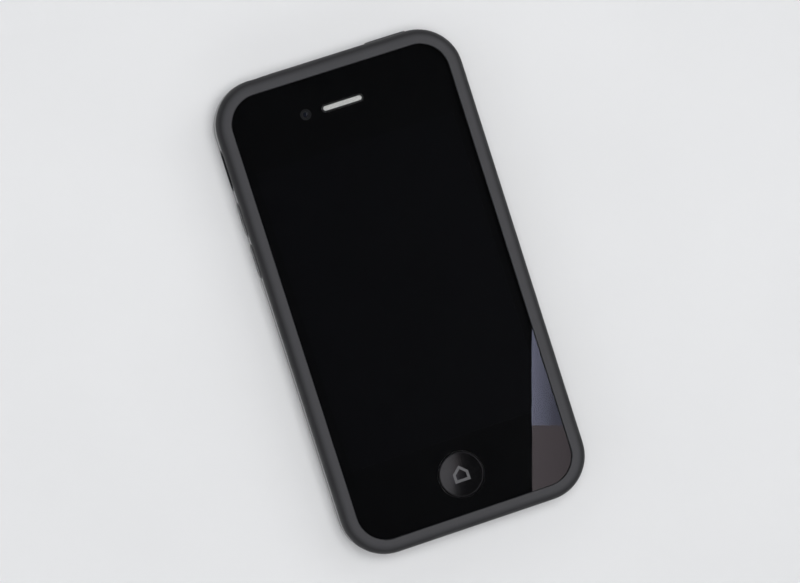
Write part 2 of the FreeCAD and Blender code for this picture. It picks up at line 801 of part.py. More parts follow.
def home_key():
    """Dished round key, its rubber seal under the glass and the dome switch that it presses."""
    flange_top = f"({GLASS_BOTTOM} - stack_gap)"
    flange_bottom = f"({flange_top} - flange_thick)"
    top = f"({GLASS_TOP} - home_drop)"
    stem_end = f"({flange_bottom} - stem_length)"
    blank = Piece("home_blank")
    blank.pad("XY", flange_bottom, flange_top, circle("home_diameter + 2 * flange_width", "0", "home_y"))
    blank.pad("XY", flange_top, top, circle("home_diameter", "0", "home_y"))
    blank.pad("XY", stem_end, flange_bottom, circle("home_stem", "0", "home_y"))
    blank.fillet("hole_round", flat_at("z", top))
    reach = "(home_diameter / 2 - home_land)"
    ball_radius = f"(({reach} ^ 2 + home_dish ^ 2) / (2 * home_dish))"
    ball = doc.addObject("Part::Sphere", "home_ball")
    ball.setExpression("Radius", bound(ball_radius))
    ball.setExpression("Placement.Base.y", bound("home_y"))
    ball.setExpression("Placement.Base.z", bound(f"{top} - home_dish + {ball_radius}"))
    button = boolean("Cut", "home_button", blank.body, ball)
    seal = Piece("home_seal")
    seal.pad(
        "XY",
        f"{flange_top} + clearance",
        f"{GLASS_BOTTOM} - hairline",
        circle("home_diameter + 2 * flange_width + 2 * tray_wall", "0", "home_y"),
        circle("home_diameter + flange_width", "0", "home_y"),
    )
    dome_top = f"({stem_end} - home_travel - clearance)"
    dome_bottom = f"({dome_top} - dome_height)"
    switch = Piece("home_switch")
    plate = rounded("home_diameter", "home_diameter - dome_diameter", "module_round", "0", "home_y")
    switch.pad("XY", f"{dome_bottom} - dome_plate", dome_bottom, plate)
    switch.pad("XY", dome_bottom, dome_top, circle("dome_diameter", "0", "home_y"))
    switch.fillet("stack_gap", flat_at("z", dome_top))
    keep(button, seal, switch)


# ---------------------------------------------------------------- the side keys

KEY_INSIDE = f"(-{SIDE} + band_wall + running)"


def volume_key(label, across):
    """Round steel key with a flange behind the band, so that it can't fall out."""
    key = Piece(label)
    flange_end = f"{KEY_INSIDE} + key_flange"
    key.pad("YZ", f"-{SIDE} - key_proud", KEY_INSIDE, circle("volume_diameter", across, MIDDLE))
    key.pad("YZ", KEY_INSIDE, flange_end, circle("volume_diameter + key_flange", across, MIDDLE))
    key.pad("YZ", flange_end, f"{flange_end} + plunger_length", circle("plunger_diameter", across, MIDDLE))
    key.fillet("key_round", flat_at("x", f"-{SIDE} - key_proud"))
    return key


def side_switches():
    """Flexible strip with a dome switch behind each volume key."""
    face = f"({KEY_INSIDE} + key_flange + plunger_length + key_travel + clearance)"
    strip_face = f"({face} + side_dome_height)"
    dome_z = f"({MIDDLE} - module_round)"
    strip = box(
        "switch_strip",
        (strip_face, "volume_down_y - strip_margin", f"{dome_z} - side_dome / 2"),
        (f"{strip_face} + strip_thick", "volume_up_y + strip_margin", f"{dome_z} + side_dome / 2"),
    )
    domes = [
        rod(f"dome_{across}", "side_dome", "side_dome_height", (face, across, dome_z), along="x")
        for across in ("volume_up_y", "volume_down_y")
    ]
    return joined("side_switches", [strip, *domes])


def ring_switch():
    """Two-position slider. Its tab stands through the band, and a mark shows once it has slid back."""
    rest = f"({MIDDLE} + switch_travel / 2)"
    inside = f"(-{SIDE} + band_wall + 2 * mark_thick)"
    back = f"({inside} + carrier_thick)"
    outer = f"(-{SIDE} - key_proud - stack_gap)"
    tab = Piece("ring_switch_tab")
    tab.pad("YZ", outer, inside, rounded("switch_length", "switch_height", "port_round", "switch_y", rest))
    tab.fillet("key_round", flat_at("x", outer))
    low, high = f"({BAND_BOTTOM} + switch_travel + clearance)", f"({BAND_TOP} - clearance)"
    carrier_length = "switch_length + 2 * carrier_margin"
    carrier = Piece("ring_switch_carrier")
    carrier.pad(
        "YZ",
        inside,
        back,
        rounded(carrier_length, f"{high} - {low}", "mesh_wall", "switch_y", f"({low} + {high}) / 2"),
    )
    mark_height = "(switch_height - module_round)"
    mark_z = f"({rest} + switch_height / 2 + {mark_height} / 2 + hairline)"
    mark = Piece("silent_mark")
    mark_outline = rounded("switch_length", mark_height, "stack_gap", "switch_y", mark_z)
    mark.pad("YZ", f"{inside} - mark_thick", inside, mark_outline)
    base = Piece("ring_switch_base")
    base_height = "switch_height + switch_travel"
    base.pad(
        "YZ",
        f"{back} + running",
        f"{back} + running + carrier_thick",
        rounded(carrier_length, base_height, "mesh_wall", "switch_y", f"{MIDDLE} - module_round"),
    )
    keep(tab, carrier, mark, base)


def sleep_key():
    """Steel bar key in the top edge and the switch behind it."""
    inside = f"({END} - band_wall - running)"
    flange_end = f"({inside} - key_flange)"
    plunger_end = f"({flange_end} - plunger_length)"
    key = Piece("sleep_button")
    key.pad("XZ", inside, f"{END} + key_proud", slot("sleep_length", "sleep_height", "sleep_x", MIDDLE))
    flange = slot("sleep_length + key_flange", "sleep_height + key_flange", "sleep_x", MIDDLE)
    key.pad("XZ", flange_end, inside, flange)
    key.pad("XZ", plunger_end, flange_end, circle("plunger_diameter", "sleep_x", MIDDLE))
    key.fillet("key_round", flat_at("y", f"{END} + key_proud"))
    face = f"({plunger_end} - key_travel - clearance)"
    dome_back = f"({face} - dome_height)"
    switch = Piece("sleep_switch")
    body = rounded("sleep_switch_length", "side_dome", "mesh_wall", "sleep_x", MIDDLE)
    switch.pad("XZ", f"{dome_back} - side_dome_height", dome_back, body)
    switch.pad("XZ", dome_back, face, circle("plunger_diameter", "sleep_x", MIDDLE))
    keep(key, switch)


def keys():
    keep(
        volume_key("volume_up_button", "volume_up_y"),
        volume_key("volume_down_button", "volume_down_y"),
        side_switches(),
    )
    ring_switch()
    sleep_key()


# ---------------------------------------------------------------- sockets, grilles and sound


def headphone_jack():
    """Round socket for a 3.5 mm plug, with a collar that fills the hole in the band."""
    inside = f"{END} - band_wall - key_round"
    bore_end = f"{END} - jack_depth"
    jack = Piece("headphone_jack")
    body = rounded("jack_width", "jack_height", "module_round", "jack_x", MIDDLE)
    jack.pad("XZ", f"{bore_end} - {PAST}", inside, body)
    jack.pad("XZ", inside, f"{END} - clearance", circle("jack_collar", "jack_x", MIDDLE))
    jack.pocket("XZ", bore_end, f"{END} + {PAST}", circle("jack_bore", "jack_x", MIDDLE))
    return jack


def top_microphone():
    mic = Piece("top_microphone")
    body = rounded("3 * mic_hole", "2 * mic_hole", "mesh_wall", "mic_x", f"{END} - 2 * band_wall")
    mic.pad("XY", f"{MIDDLE} - module_round", f"{MIDDLE} + module_round", body)
    return mic


def dock_connector():
    """Wide socket with a flat tongue, and a row of contacts along the tongue."""
    face, floor = f"(-{END} + band_wall + clearance)", f"(-{END} + dock_depth)"
    shell_size = ("dock_width + 2 * dock_wall", "dock_height + 2 * dock_wall", "port_round + dock_wall / 2")
    shell = Piece("dock_connector")
    shell.pad("XZ", face, f"{floor} + {PAST}", rounded(*shell_size, "0", MIDDLE))
    mouth = rounded("dock_width", "dock_height", "port_round", "0", MIDDLE)
    shell.pocket("XZ", f"-{END} - {PAST}", floor, mouth)
    tongue = rounded(f"dock_width - 2 * {PAST}", "tongue_height", "stack_gap", "0", MIDDLE)
    shell.pad("XZ", f"{face} + running", f"{floor} + running", tongue)
    count = 30
    tongue_top = f"{MIDDLE} + tongue_height / 2"
    contacts = []
    for i in range(count):
        x = f"contact_pitch * {i - (count - 1) / 2}"
        low = (f"{x} - contact_width / 2", f"{face} + strip_thick", f"{tongue_top} + hairline / 2")
        high = (f"{x} + contact_width / 2", f"{floor} - mesh_wall", f"{tongue_top} + contact_height")
        contacts.append(box(f"contact_{i}", low, high))
    keep(shell, group("dock_contacts", contacts))


def grille(label, across):
    """Woven screen behind one of the two bottom grilles."""
    mesh = Piece(label)
    back = f"-{END} + band_wall - key_round"
    size = ("grille_length - 2 * clearance", "grille_height - 2 * clearance")
    mesh.pad("XZ", f"{back} - mesh_wall", back, slot(*size, across, MIDDLE))
    return mesh.body


def sound():
    at = ("speaker_x", "speaker_y")
    top = f"({PLATE_BOTTOM} + stack_gap)"
    speaker = Piece("loudspeaker")
    body = rounded("speaker_size", "speaker_size", "speaker_size / 2 - module_round", *at)
    speaker.pad("XY", f"{REAR_INSIDE} + stack_gap", top, body)
    speaker.pocket("XY", f"{top} - strip_thick", f"{top} + {PAST}", circle("speaker_cone", *at))
    mic = Piece("microphone")
    mic_body = rounded("6 * mic_hole", "3 * mic_hole", "port_round", "-grille_x", f"-{END} + 3 * band_wall")
    mic.pad("XY", f"{MIDDLE} - module_round", f"{MIDDLE} + module_round", mic_body)
    meshes = [grille("speaker_mesh", "grille_x"), grille("microphone_mesh", "-grille_x")]
    keep(speaker, mic, group("bottom_meshes", meshes))


def cross_screw(label, plane, start, head, head_height, shank, length, x, y):
    """Screw with a cross recess, whose head starts at a level and whose shank runs on along the axis."""
    screw = Piece(label)
    shoulder = f"({start} + {head_height})"
    screw.pad(plane, start, shoulder, circle(head, x, y))
    screw.pad(plane, shoulder, f"{shoulder} + {length}", circle(shank, x, y))
    slot_length = f"{head} * 0.65"
    for width, height in ((slot_length, "recess_width"), ("recess_width", slot_length)):
        cut = rounded(width, height, "running", x, y)
        screw.pocket(plane, f"{start} - {PAST}", f"{start} + {head_height} * 0.5", cut)
    return screw.body


def edge_screw(label, across):
    """It holds the rear cover at the bottom edge."""
    sizes = ("screw_head", "screw_head_height", "screw_shank", "screw_length")
    return cross_screw(label, "XZ", f"(-{END} + running)", *sizes, across, MIDDLE)


def sockets():
    keep(headphone_jack(), top_microphone())
    dock_connector()
    sound()
    screws = [edge_screw("edge_screw_left", "-screw_x"), edge_screw("edge_screw_right", "screw_x")]
    keep(group("edge_screws", screws))


# ---------------------------------------------------------------- the rear of the phone


def rear_openings():
    """The openings for the lens ring and for the lamp."""
    return (
        circle("lens_ring + running", "lens_x", "lens_y"),
        circle("flash_diameter + stack_gap", "flash_x", "lens_y"),
    )


def rear_glass():
    glass = Piece("rear_glass")
    glass.pad("XY", "case_lip", REAR_SEAT, phone_outline("glass_inset"))
    glass.pocket("XY", "0", f"{REAR_SEAT} + {PAST}", *rear_openings())
    glass.fillet("glass_round", both(flat_at("z", "case_lip"), on_outline("glass_inset")))
    return glass


def rear_frame():
    """Plastic tray bonded to the rear glass, with two lugs that take the edge screws."""
    outer = "glass_inset - rim_width"
    frame = Piece("rear_frame")
    frame.pad("XY", "case_lip + rim_drop", BAND_BOTTOM, phone_outline(outer))
    frame.pocket("XY", "0", f"{REAR_SEAT} + hairline", phone_outline("glass_inset - clearance"))
    frame.pocket("XY", REAR_INSIDE, f"{BAND_BOTTOM} + {PAST}", phone_outline(f"{outer} + frame_wall"))
    frame.pocket("XY", "0", BAND_BOTTOM, *rear_openings())
    for across in ("screw_x", "-screw_x"):
        lug = rounded("lug_width", "lug_width", "strip_thick", across, "lug_y")
        frame.pad("XY", f"{REAR_INSIDE} - running", f"{MIDDLE} + screw_shank", lug)
        screw_hole = circle("screw_shank + clearance", across, MIDDLE)
        frame.pocket("XZ", "lug_y - lug_width", "lug_y + lug_width", screw_hole)
    return frame


def rear_camera():
    """Housing with a bore, and the focusing barrel that slides in it, behind a window in the rear glass."""
    at = ("lens_x", "lens_y")
    face = f"({REAR_INSIDE} + 2 * strip_thick)"
    ring = Piece("camera_ring")
    ring.pad(
        "XY",
        "case_lip + hairline",
        f"{face} - mesh_wall",
        circle("lens_ring", *at),
        circle("lens_ring - 2 * lens_bezel", *at),
    )
    window = Piece("camera_window")
    window_size = circle("lens_ring - 2 * lens_bezel - 2 * clearance", *at)
    window.pad("XY", "case_lip + key_round", "case_lip + key_round + recess_depth", window_size)
    module = Piece("camera_module")
    body = rounded("camera_size", "camera_size", "module_round", *at)
    module.pad("XY", face, f"{PLATE_BOTTOM} - running", body)
    bore = circle("lens_diameter + 2 * running", *at)
    module.pocket("XY", f"{face} - {PAST}", f"{face} + barrel_bore_depth", bore)
    barrel = Piece("camera_barrel")
    barrel_face = f"{face} + clearance"
    barrel.pad("XY", barrel_face, f"{barrel_face} + barrel_length", circle("lens_diameter", *at))
    for steps in (1, 2):
        inner = circle(f"lens_diameter / 1.6 ^ {steps}", *at)
        barrel.pocket("XY", face, f"{face} + {steps} * barrel_step", inner)
    flash = Piece("flash_lamp")
    lamp = circle("flash_diameter", "flash_x", "lens_y")
    flash.pad("XY", "case_lip + hairline", f"{REAR_INSIDE} + strip_thick", lamp)
    keep(ring, window, module, barrel, flash)


# ---------------------------------------------------------------- what the phone holds

BOARD_HOLES = [
    (f"board_x {side} (board_width / 2 - hole_inset_x)", f"board_y {end} (board_length / 2 - hole_inset_y)")
    for side in "+-"
    for end in "+-"
]
PLATE_TABS = ("-34", "-14", "6")  # where along Y the tabs that are welded to the band stand


def mid_plate():
    """Steel plate welded across the band: the display lies on it, and the board hangs from its posts."""
    plate = Piece("mid_plate")
    half_width = f"({SIDE} - plate_margin)"
    plate.pad("XY", PLATE_BOTTOM, PLATE_TOP, rounded(f"2 * {half_width}", "board_length", "2 * port_round"))
    tab_width = f"2 * ({SIDE} - band_wall - hairline - {half_width})"
    for x in (f"-{half_width}", half_width):
        for y in PLATE_TABS:
            plate.pad("XY", PLATE_BOTTOM, PLATE_TOP, rounded(tab_width, "tab_length", "mesh_wall", x, y))
    for x, y in BOARD_HOLES:
        post = circle("post_diameter", x, y)
        plate.pad("XY", f"{BOARD_TOP} + hairline", f"{PLATE_BOTTOM} + running", post)
        thread = circle("board_screw_shank + clearance", x, y)
        plate.pocket("XY", BOARD_TOP, f"{PLATE_BOTTOM} - mesh_wall", thread)
    window = rounded("battery_width * 0.75", "battery_length * 0.6", f"3 * {PAST}", "battery_x")
    plate.pocket("XY", f"{PLATE_BOTTOM} - {PAST}", f"{PLATE_TOP} + {PAST}", window)
    return plate


def board_screw(index, x, y):
    head_height = "(plate_thick + port_round / 4)"
    start = f"({BOARD_BOTTOM} - hairline - {head_height})"
    length = f"({BOARD_TOP} - {BOARD_BOTTOM} + screw_shank)"
    head, shank = ("board_screw_head", head_height), ("board_screw_shank", length)
    return cross_screw(f"board_screw_{index}", "XY", start, *head, *shank, x, y)


def can(label, bottom, top, length, y, opens_down):
    """Thin metal can over part of the board, open towards the board."""
    piece = Piece(label)
    piece.pad("XY", bottom, top, rounded("can_width", length, "module_round", "board_x", y))
    low, high = f"{bottom} + can_wall", f"{top} + {PAST}"
    if opens_down:
        low, high = f"{bottom} - {PAST}", f"{top} - can_wall"
    hollow = rounded("can_width - 2 * can_wall", f"{length} - 2 * can_wall", "strip_thick", "board_x", y)
    piece.pocket("XY", low, high, hollow)
    return piece.body


# Chips on the board's upper side: width, length, centre along Y, height.
CHIPS = ((14, 14, 22, 1.1), (11, 7, 33.5, 0.9), (12, 10, -18, 1.0), (8, 8, -30, 0.8))


def logic_board():
    board = Piece("logic_board")
    outline = rounded("board_width", "board_length", f"{PAST}", "board_x", "board_y")
    board.pad("XY", BOARD_BOTTOM, BOARD_TOP, outline)
    holes = [circle("board_hole", x, y) for x, y in BOARD_HOLES]
    board.pocket("XY", f"{BOARD_BOTTOM} - {PAST}", f"{BOARD_TOP} + {PAST}", *holes)
    above, below = f"{BOARD_TOP} + hairline", f"{BOARD_BOTTOM} - hairline"
    chips = [
        box(
            f"chip_{i}",
            (f"board_x - {width / 2}", f"{y - length / 2}", above),
            (f"board_x + {width / 2}", f"{y + length / 2}", f"{BOARD_TOP} + {height}"),
        )
        for i, (width, length, y, height) in enumerate(CHIPS)
    ]
    can_top = f"{PLATE_BOTTOM} - running"
    cans = [
        can("can_upper", above, can_top, "27", "24.5", opens_down=True),
        can("can_lower", above, can_top, "24", "-23.5", opens_down=True),
        can("can_rear", f"{REAR_INSIDE} + stack_gap", below, "68", "1", opens_down=False),
    ]
    keep(
        board,
        group("board_chips", chips),
        group("board_shields", cans),
        group("board_screws", [board_screw(i, x, y) for i, (x, y) in enumerate(BOARD_HOLES)]),
    )


def battery():
    """Flat pouch cell in its foil."""
    bottom = f"({REAR_INSIDE} + mesh_wall)"
    top = f"({bottom} + battery_thick)"
    cell = Piece("battery")
    outline = rounded("battery_width", "battery_length", "battery_corner", "battery_x")
    cell.pad("XY", bottom, top, outline)
    cell.fillet("battery_round", both(flat_at("z", bottom, top)))
    return cell


def dock_flex():
    """Flexible circuit from the dock connector to the board."""
    left, right = "dock_flex_x - flex_width / 2", "dock_flex_x + flex_width / 2"
    start, end = f"-{END} + dock_depth + {PAST} + running", "board_y - board_length / 2 - running"
    bottom = f"{BOARD_BOTTOM} + mesh_wall"
    return box("dock_flex", (left, start, bottom), (right, end, f"{bottom} + flex_thick"))


# ---------------------------------------------------------------- the card tray and its ejector

FACE_INSIDE = f"({SIDE} - band_wall + clearance)"
TRAY_END = f"({SIDE} - tray_reach)"
TRAY_LOW = f"({MIDDLE} - tray_thick / 2)"
TRAY_HIGH = f"({MIDDLE} + tray_thick / 2)"
TRAY_Y = "(tray_y + tray_shift)"


def sim_tray():
    """Tray that slides out of the right side, with a nest for the card and a hole for the ejector pin."""
    tray = Piece("sim_tray")
    tray.pad("YZ", FACE_INSIDE, SIDE, slot("tray_face", "tray_height", "tray_y", MIDDLE))
    root = f"({FACE_INSIDE} + tray_floor)"
    plate_length, plate_x = f"{root} - {TRAY_END}", f"({root} + {TRAY_END}) / 2"
    tray.pad("XY", TRAY_LOW, TRAY_HIGH, rounded(plate_length, "tray_width", "strip_thick", plate_x, TRAY_Y))
    card_x = f"({TRAY_END} + card_length / 2 + 3 * tray_floor)"
    nest = rounded("card_length + running", "card_width + running", "strip_thick", card_x, TRAY_Y)
    hollow_size = ("card_length - 2 * card_ledge", "card_width - 2 * card_ledge")
    hollow = rounded(*hollow_size, "strip_thick", card_x, TRAY_Y)
    tray.pocket("XY", f"{TRAY_LOW} + tray_floor", f"{TRAY_HIGH} + {PAST}", nest)
    tray.pocket("XY", f"{TRAY_LOW} - {PAST}", TRAY_HIGH, hollow)
    tray.pocket("YZ", f"{FACE_INSIDE} - {PAST}", f"{SIDE} + {PAST}", circle("pin_hole", "pin_y", MIDDLE))
    card = Piece("sim_card")
    card_bottom = f"({TRAY_LOW} + tray_floor + hairline)"
    card_outline = rounded("card_length", "card_width", "strip_thick", card_x, TRAY_Y)
    card.pad("XY", card_bottom, f"{card_bottom} + card_thick", card_outline)
    return tray, card


def sim_reader():
    """Base on the board with two rails beside the tray and the ejector's post."""
    top = f"({BOARD_TOP} + reader_thick)"
    start, end = f"(lever_x - {PAST})", f"({SIDE} - band_wall - mesh_wall)"
    reader = Piece("sim_reader")
    base = rounded(f"{end} - {start}", "reader_width", "mesh_wall", f"({end} + {start}) / 2", TRAY_Y)
    reader.pad("XY", f"{BOARD_TOP} + hairline", top, base)
    for rail_y in ("pin_y - rod_diameter / 2 - rail_width", f"{TRAY_Y} + tray_width / 2 + rail_width"):
        rail = rounded("rail_length", "rail_width", "stack_gap", f"({SIDE} + {TRAY_END}) / 2", rail_y)
        reader.pad("XY", f"{top} - running", f"{TRAY_HIGH} + clearance", rail)
    post = circle("lever_pin", "lever_x", "lever_y")
    reader.pad("XY", f"{top} - running", f"{MIDDLE} + lever_thick", post)
    return reader


def ejector():
    """Lever with a short arm that the push rod meets and a long arm behind the tray's inner end."""
    low, high = f"({MIDDLE} - lever_thick / 2)", f"({MIDDLE} + lever_thick / 2)"
    lever = Piece("sim_lever")
    short_end = "(pin_y - lever_width)"
    arm = rounded("lever_width", "lever_length", "key_round", "lever_x", f"{short_end} + lever_length / 2")
    lever.pad("XY", low, high, arm)
    lever.pad("XY", low, high, circle("lever_hub", "lever_x", "lever_y"))
    pin_hole = circle("lever_pin + 2 * clearance", "lever_x", "lever_y")
    lever.pocket("XY", f"{low} - {PAST}", f"{high} + {PAST}", pin_hole)
    push_rod = Piece("sim_push_rod")
    start = "(lever_x + lever_width / 2 + clearance)"
    push_rod.pad("YZ", start, f"{FACE_INSIDE} - key_round", circle("rod_diameter", "pin_y", MIDDLE))
    push_rod.chamfer("rod_diameter / 4", flat_at("x", start))
    return lever, push_rod


def vibration_motor():
    """Small motor can, its shaft, and the half-round weight that shakes the phone as it spins."""
    axis = ("motor_y", "motor_z")
    can_end = "(motor_x + motor_length)"
    weight_start, weight_end = f"({can_end} + weight_gap)", f"({can_end} + weight_gap + weight_length)"
    shaft_start = f"({can_end} - shaft_seat)"
    blank = rod("motor_blank", "motor_diameter", "motor_length", ("motor_x", *axis), along="x")
    bore_at = (f"{shaft_start} - stack_gap", *axis)
    bore = rod("motor_bore", "shaft_diameter + running", f"shaft_seat + {PAST}", bore_at, along="x")
    motor = boolean("Cut", "vibration_motor", blank, bore)
    shaft_length = f"{weight_end} - {shaft_start} + mesh_wall"
    shaft = rod("motor_shaft", "shaft_diameter", shaft_length, (shaft_start, *axis), along="x")
    weight = Piece("motor_weight")
    weight.pad("YZ", weight_start, weight_end, circle("motor_diameter + running", *axis))
    above = rounded(
        f"motor_diameter + 2 * {PAST}",
        "motor_diameter",
        "running",
        "motor_y",
        "motor_z + weight_hub + motor_diameter / 2",
    )
    cut = (f"{weight_start} - {PAST}", f"{weight_end} + {PAST}")
    weight.pocket("YZ", *cut, above)
    weight.pocket("YZ", *cut, circle("shaft_diameter + hairline", *axis))
    keep(motor, shaft, weight)


# ---------------------------------------------------------------- the whole assembly


def build():
    case()
    antenna_band()
    keep(front_bezel(), front_glass())
    display()
    earpiece()
    front_sensors()
    home_key()
    keys()
    sockets()
    keep(rear_glass(), rear_frame())
    rear_camera()
    keep(mid_plate())
    logic_board()
    keep(battery(), dock_flex())
    keep(*sim_tray(), sim_reader(), *ejector())
    vibration_motor()


def check():
    """Stop if anything failed to build. A failed feature doesn't raise by itself."""
    doc.recompute()
    for made in doc.Objects:
        if {"Invalid", "Error"} & set(made.State):
            raise RuntimeError(f"{made.Label} failed: {made.State}")
    for node in nodes:
        if node.Shape.isNull() or not node.Shape.isValid() or not node.Shape.Solids:
            raise RuntimeError(f"{node.Label} is not a valid solid")


def export():
    os.makedirs("parts", exist_ok=True)
    for node in nodes:
        node.Shape.exportStep(os.path.join("parts", f"{node.Label}.step"))


build()
check()
export()
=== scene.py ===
import json
import math

import bmesh
import bpy
from mathutils import Matrix, Vector


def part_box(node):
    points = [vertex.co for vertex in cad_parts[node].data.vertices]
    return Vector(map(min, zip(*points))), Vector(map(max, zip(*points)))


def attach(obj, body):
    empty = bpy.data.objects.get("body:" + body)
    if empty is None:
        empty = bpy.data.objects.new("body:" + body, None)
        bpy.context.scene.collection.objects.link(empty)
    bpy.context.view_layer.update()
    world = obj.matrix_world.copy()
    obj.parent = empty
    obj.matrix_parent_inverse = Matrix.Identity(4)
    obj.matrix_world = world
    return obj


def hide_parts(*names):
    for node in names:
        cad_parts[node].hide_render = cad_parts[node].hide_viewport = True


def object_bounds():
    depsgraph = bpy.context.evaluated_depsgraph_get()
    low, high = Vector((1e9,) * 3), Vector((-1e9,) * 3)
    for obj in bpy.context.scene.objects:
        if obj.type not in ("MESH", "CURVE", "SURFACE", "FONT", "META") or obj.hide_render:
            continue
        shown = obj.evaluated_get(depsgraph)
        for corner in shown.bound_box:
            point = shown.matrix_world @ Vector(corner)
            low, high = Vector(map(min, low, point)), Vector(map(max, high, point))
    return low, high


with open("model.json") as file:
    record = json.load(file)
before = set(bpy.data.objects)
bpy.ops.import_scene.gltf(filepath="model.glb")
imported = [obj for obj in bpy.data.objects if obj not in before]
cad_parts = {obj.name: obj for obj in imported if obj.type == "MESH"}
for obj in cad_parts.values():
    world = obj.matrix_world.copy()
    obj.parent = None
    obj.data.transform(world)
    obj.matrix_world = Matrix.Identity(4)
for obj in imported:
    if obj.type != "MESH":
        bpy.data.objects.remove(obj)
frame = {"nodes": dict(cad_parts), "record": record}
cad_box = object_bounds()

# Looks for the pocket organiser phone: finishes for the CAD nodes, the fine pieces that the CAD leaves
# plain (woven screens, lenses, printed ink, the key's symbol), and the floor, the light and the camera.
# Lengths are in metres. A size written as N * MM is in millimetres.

MM = 0.001
MICRON = 1e-6
AXIS = 1e-6  # a turned profile stops this far short of its axis
X, Y, Z = Vector((1, 0, 0)), Vector((0, 1, 0)), Vector((0, 0, 1))
WHITE = (1.0, 1.0, 1.0)


# ---------------------------------------------------------------- shader nodes


class Shader:
    """A material and its node tree, with one short call for each kind of node used here."""

    def __init__(self, name):
        self.material = bpy.data.materials.new(name)
        self.material.use_nodes = True
        self.tree = self.material.node_tree
        self.tree.nodes.clear()
        self.place = self.add("ShaderNodeTexCoord").outputs["Object"]

    def add(self, kind, inputs=None, **settings):
        """A node. Its inputs are sockets to link from, or plain values."""
        node = self.tree.nodes.new(kind)
        for key, setting in settings.items():
            setattr(node, key, setting)
        for key, given in (inputs or {}).items():
            socket = node.inputs[key]
            if isinstance(given, bpy.types.NodeSocket):
                self.tree.links.new(given, socket)
            elif socket.type == "RGBA":
                socket.default_value = (*given[:3], 1.0)
            else:
                socket.default_value = given
        return node

    def math(self, operation, *values):
        return self.add("ShaderNodeMath", dict(enumerate(values)), operation=operation).outputs[0]

    def stretched(self, stretch):
        """The place, scaled along each axis, so that a pattern runs along one of them."""
        if stretch is None:
            return self.place
        inputs = {0: self.place, 1: stretch}
        return self.add("ShaderNodeVectorMath", inputs, operation="MULTIPLY").outputs[0]

    def noise(self, size, detail=2.0, stretch=None, roughness=0.5):
        """Smooth noise from 0 to 1, with features of about this size in metres."""
        inputs = {
            "Vector": self.stretched(stretch),
            "Scale": 1 / size,
            "Detail": detail,
            "Roughness": roughness,
        }
        return self.add("ShaderNodeTexNoise", inputs).outputs["Fac"]

    def cell_edges(self, size):
        """The distance to the edge between cells of about this size, in cells."""
        inputs = {"Vector": self.place, "Scale": 1 / size}
        return self.add("ShaderNodeTexVoronoi", inputs, feature="DISTANCE_TO_EDGE").outputs["Distance"]

    def ramp(self, factor, low, high, start=0.0, finish=1.0):
        """The factor between low and high, mapped to start and finish."""
        inputs = {"Value": factor, "From Min": low, "From Max": high, "To Min": start, "To Max": finish}
        return self.add("ShaderNodeMapRange", inputs).outputs[0]

    def mix_colour(self, factor, first, second):
        """First at factor 0 and second at factor 1. Sockets 6 and 7 are the node's two colours."""
        inputs = {0: factor, 6: first, 7: second}
        return self.add("ShaderNodeMix", inputs, data_type="RGBA").outputs[2]

    def mix_value(self, factor, first, second):
        step = self.math("SUBTRACT", second, first)
        return self.math("MULTIPLY_ADD", factor, step, first)

    def bump(self, height, depth, under=None):
        """The surface normal roughened by a height, whose full swing is depth metres."""
        inputs = {"Height": height, "Distance": depth, "Strength": 1.0}
        if under is not None:
            inputs["Normal"] = under
        return self.add("ShaderNodeBump", inputs).outputs["Normal"]

    def facing_up(self, kind="Normal"):
        """1 where the surface faces straight up, 0 where it is upright and -1 where it faces down.

        "Normal" follows the smooth surface and "True Normal" each flat face.
        """
        normal = self.add("ShaderNodeNewGeometry").outputs[kind]
        return self.add("ShaderNodeSeparateXYZ", {"Vector": normal}).outputs["Z"]

    def dot(self, first, second):
        inputs = {0: first, 1: second}
        return self.add("ShaderNodeVectorMath", inputs, operation="DOT_PRODUCT").outputs["Value"]

    def edges(self, width):
        """Near 1 on edges and corners of about this width, and 0 on flat faces."""
        bevelled = self.add("ShaderNodeBevel", {"Radius": width}, samples=4).outputs["Normal"]
        flat = self.add("ShaderNodeNewGeometry").outputs["Normal"]
        return self.ramp(self.dot(bevelled, flat), 0.995, 0.86)

    def finish(self, shader):
        """The material, with this shader as its surface."""
        self.add("ShaderNodeOutputMaterial", {"Surface": shader})
        return self.material


def solid(
    name,
    colour,
    rough=(0.4, 0.5),
    metal=0.0,
    vary=0.15,
    patch=4 * MM,
    grain=None,
    depth=0.0,
    stretch=None,
    worn=None,
    worn_width=0.25 * MM,
    worn_amount=0.5,
    coat=0.0,
    specular=0.5,
    layer=None,
):
    """An opaque finish: mottled colour and roughness, a fine grain in relief, and edges rubbed lighter.

    Patch and grain are the sizes of the mottle and of the relief, and depth is the relief's swing.
    A layer takes the shader, the colour and the normal so far, and returns the last two changed.
    """
    s = Shader(name)
    mottle = s.noise(patch, detail=4.0, stretch=stretch)
    darker = tuple(c * (1 - vary) for c in colour)
    lighter = tuple(min(c * (1 + vary), 1.0) for c in colour)
    tint = s.mix_colour(s.ramp(mottle, 0.3, 0.7), darker, lighter)
    normal = None
    if grain:
        relief = s.noise(grain, detail=3.0, stretch=stretch, roughness=0.6)
        normal = s.bump(relief, depth)
        tint = s.mix_colour(s.ramp(relief, 0.35, 0.65, 0.0, 0.25), tint, darker)
    if layer:
        tint, normal = layer(s, tint, normal)
    if worn:
        uneven = s.ramp(s.noise(patch / 3), 0.35, 0.75)
        rubbed = s.math("MULTIPLY", s.math("MULTIPLY", s.edges(worn_width), uneven), worn_amount)
        tint = s.mix_colour(rubbed, tint, worn)
    inputs = {
        "Base Color": tint,
        "Metallic": metal,
        "Roughness": s.ramp(s.noise(patch / 2, detail=4.0, stretch=stretch), 0.3, 0.7, *rough),
        "Coat Weight": coat,
        "Coat Roughness": 0.08,
        "Specular IOR Level": specular,
    }
    if normal is not None:
        inputs["Normal"] = normal
    return s.finish(s.add("ShaderNodeBsdfPrincipled", inputs).outputs["BSDF"])


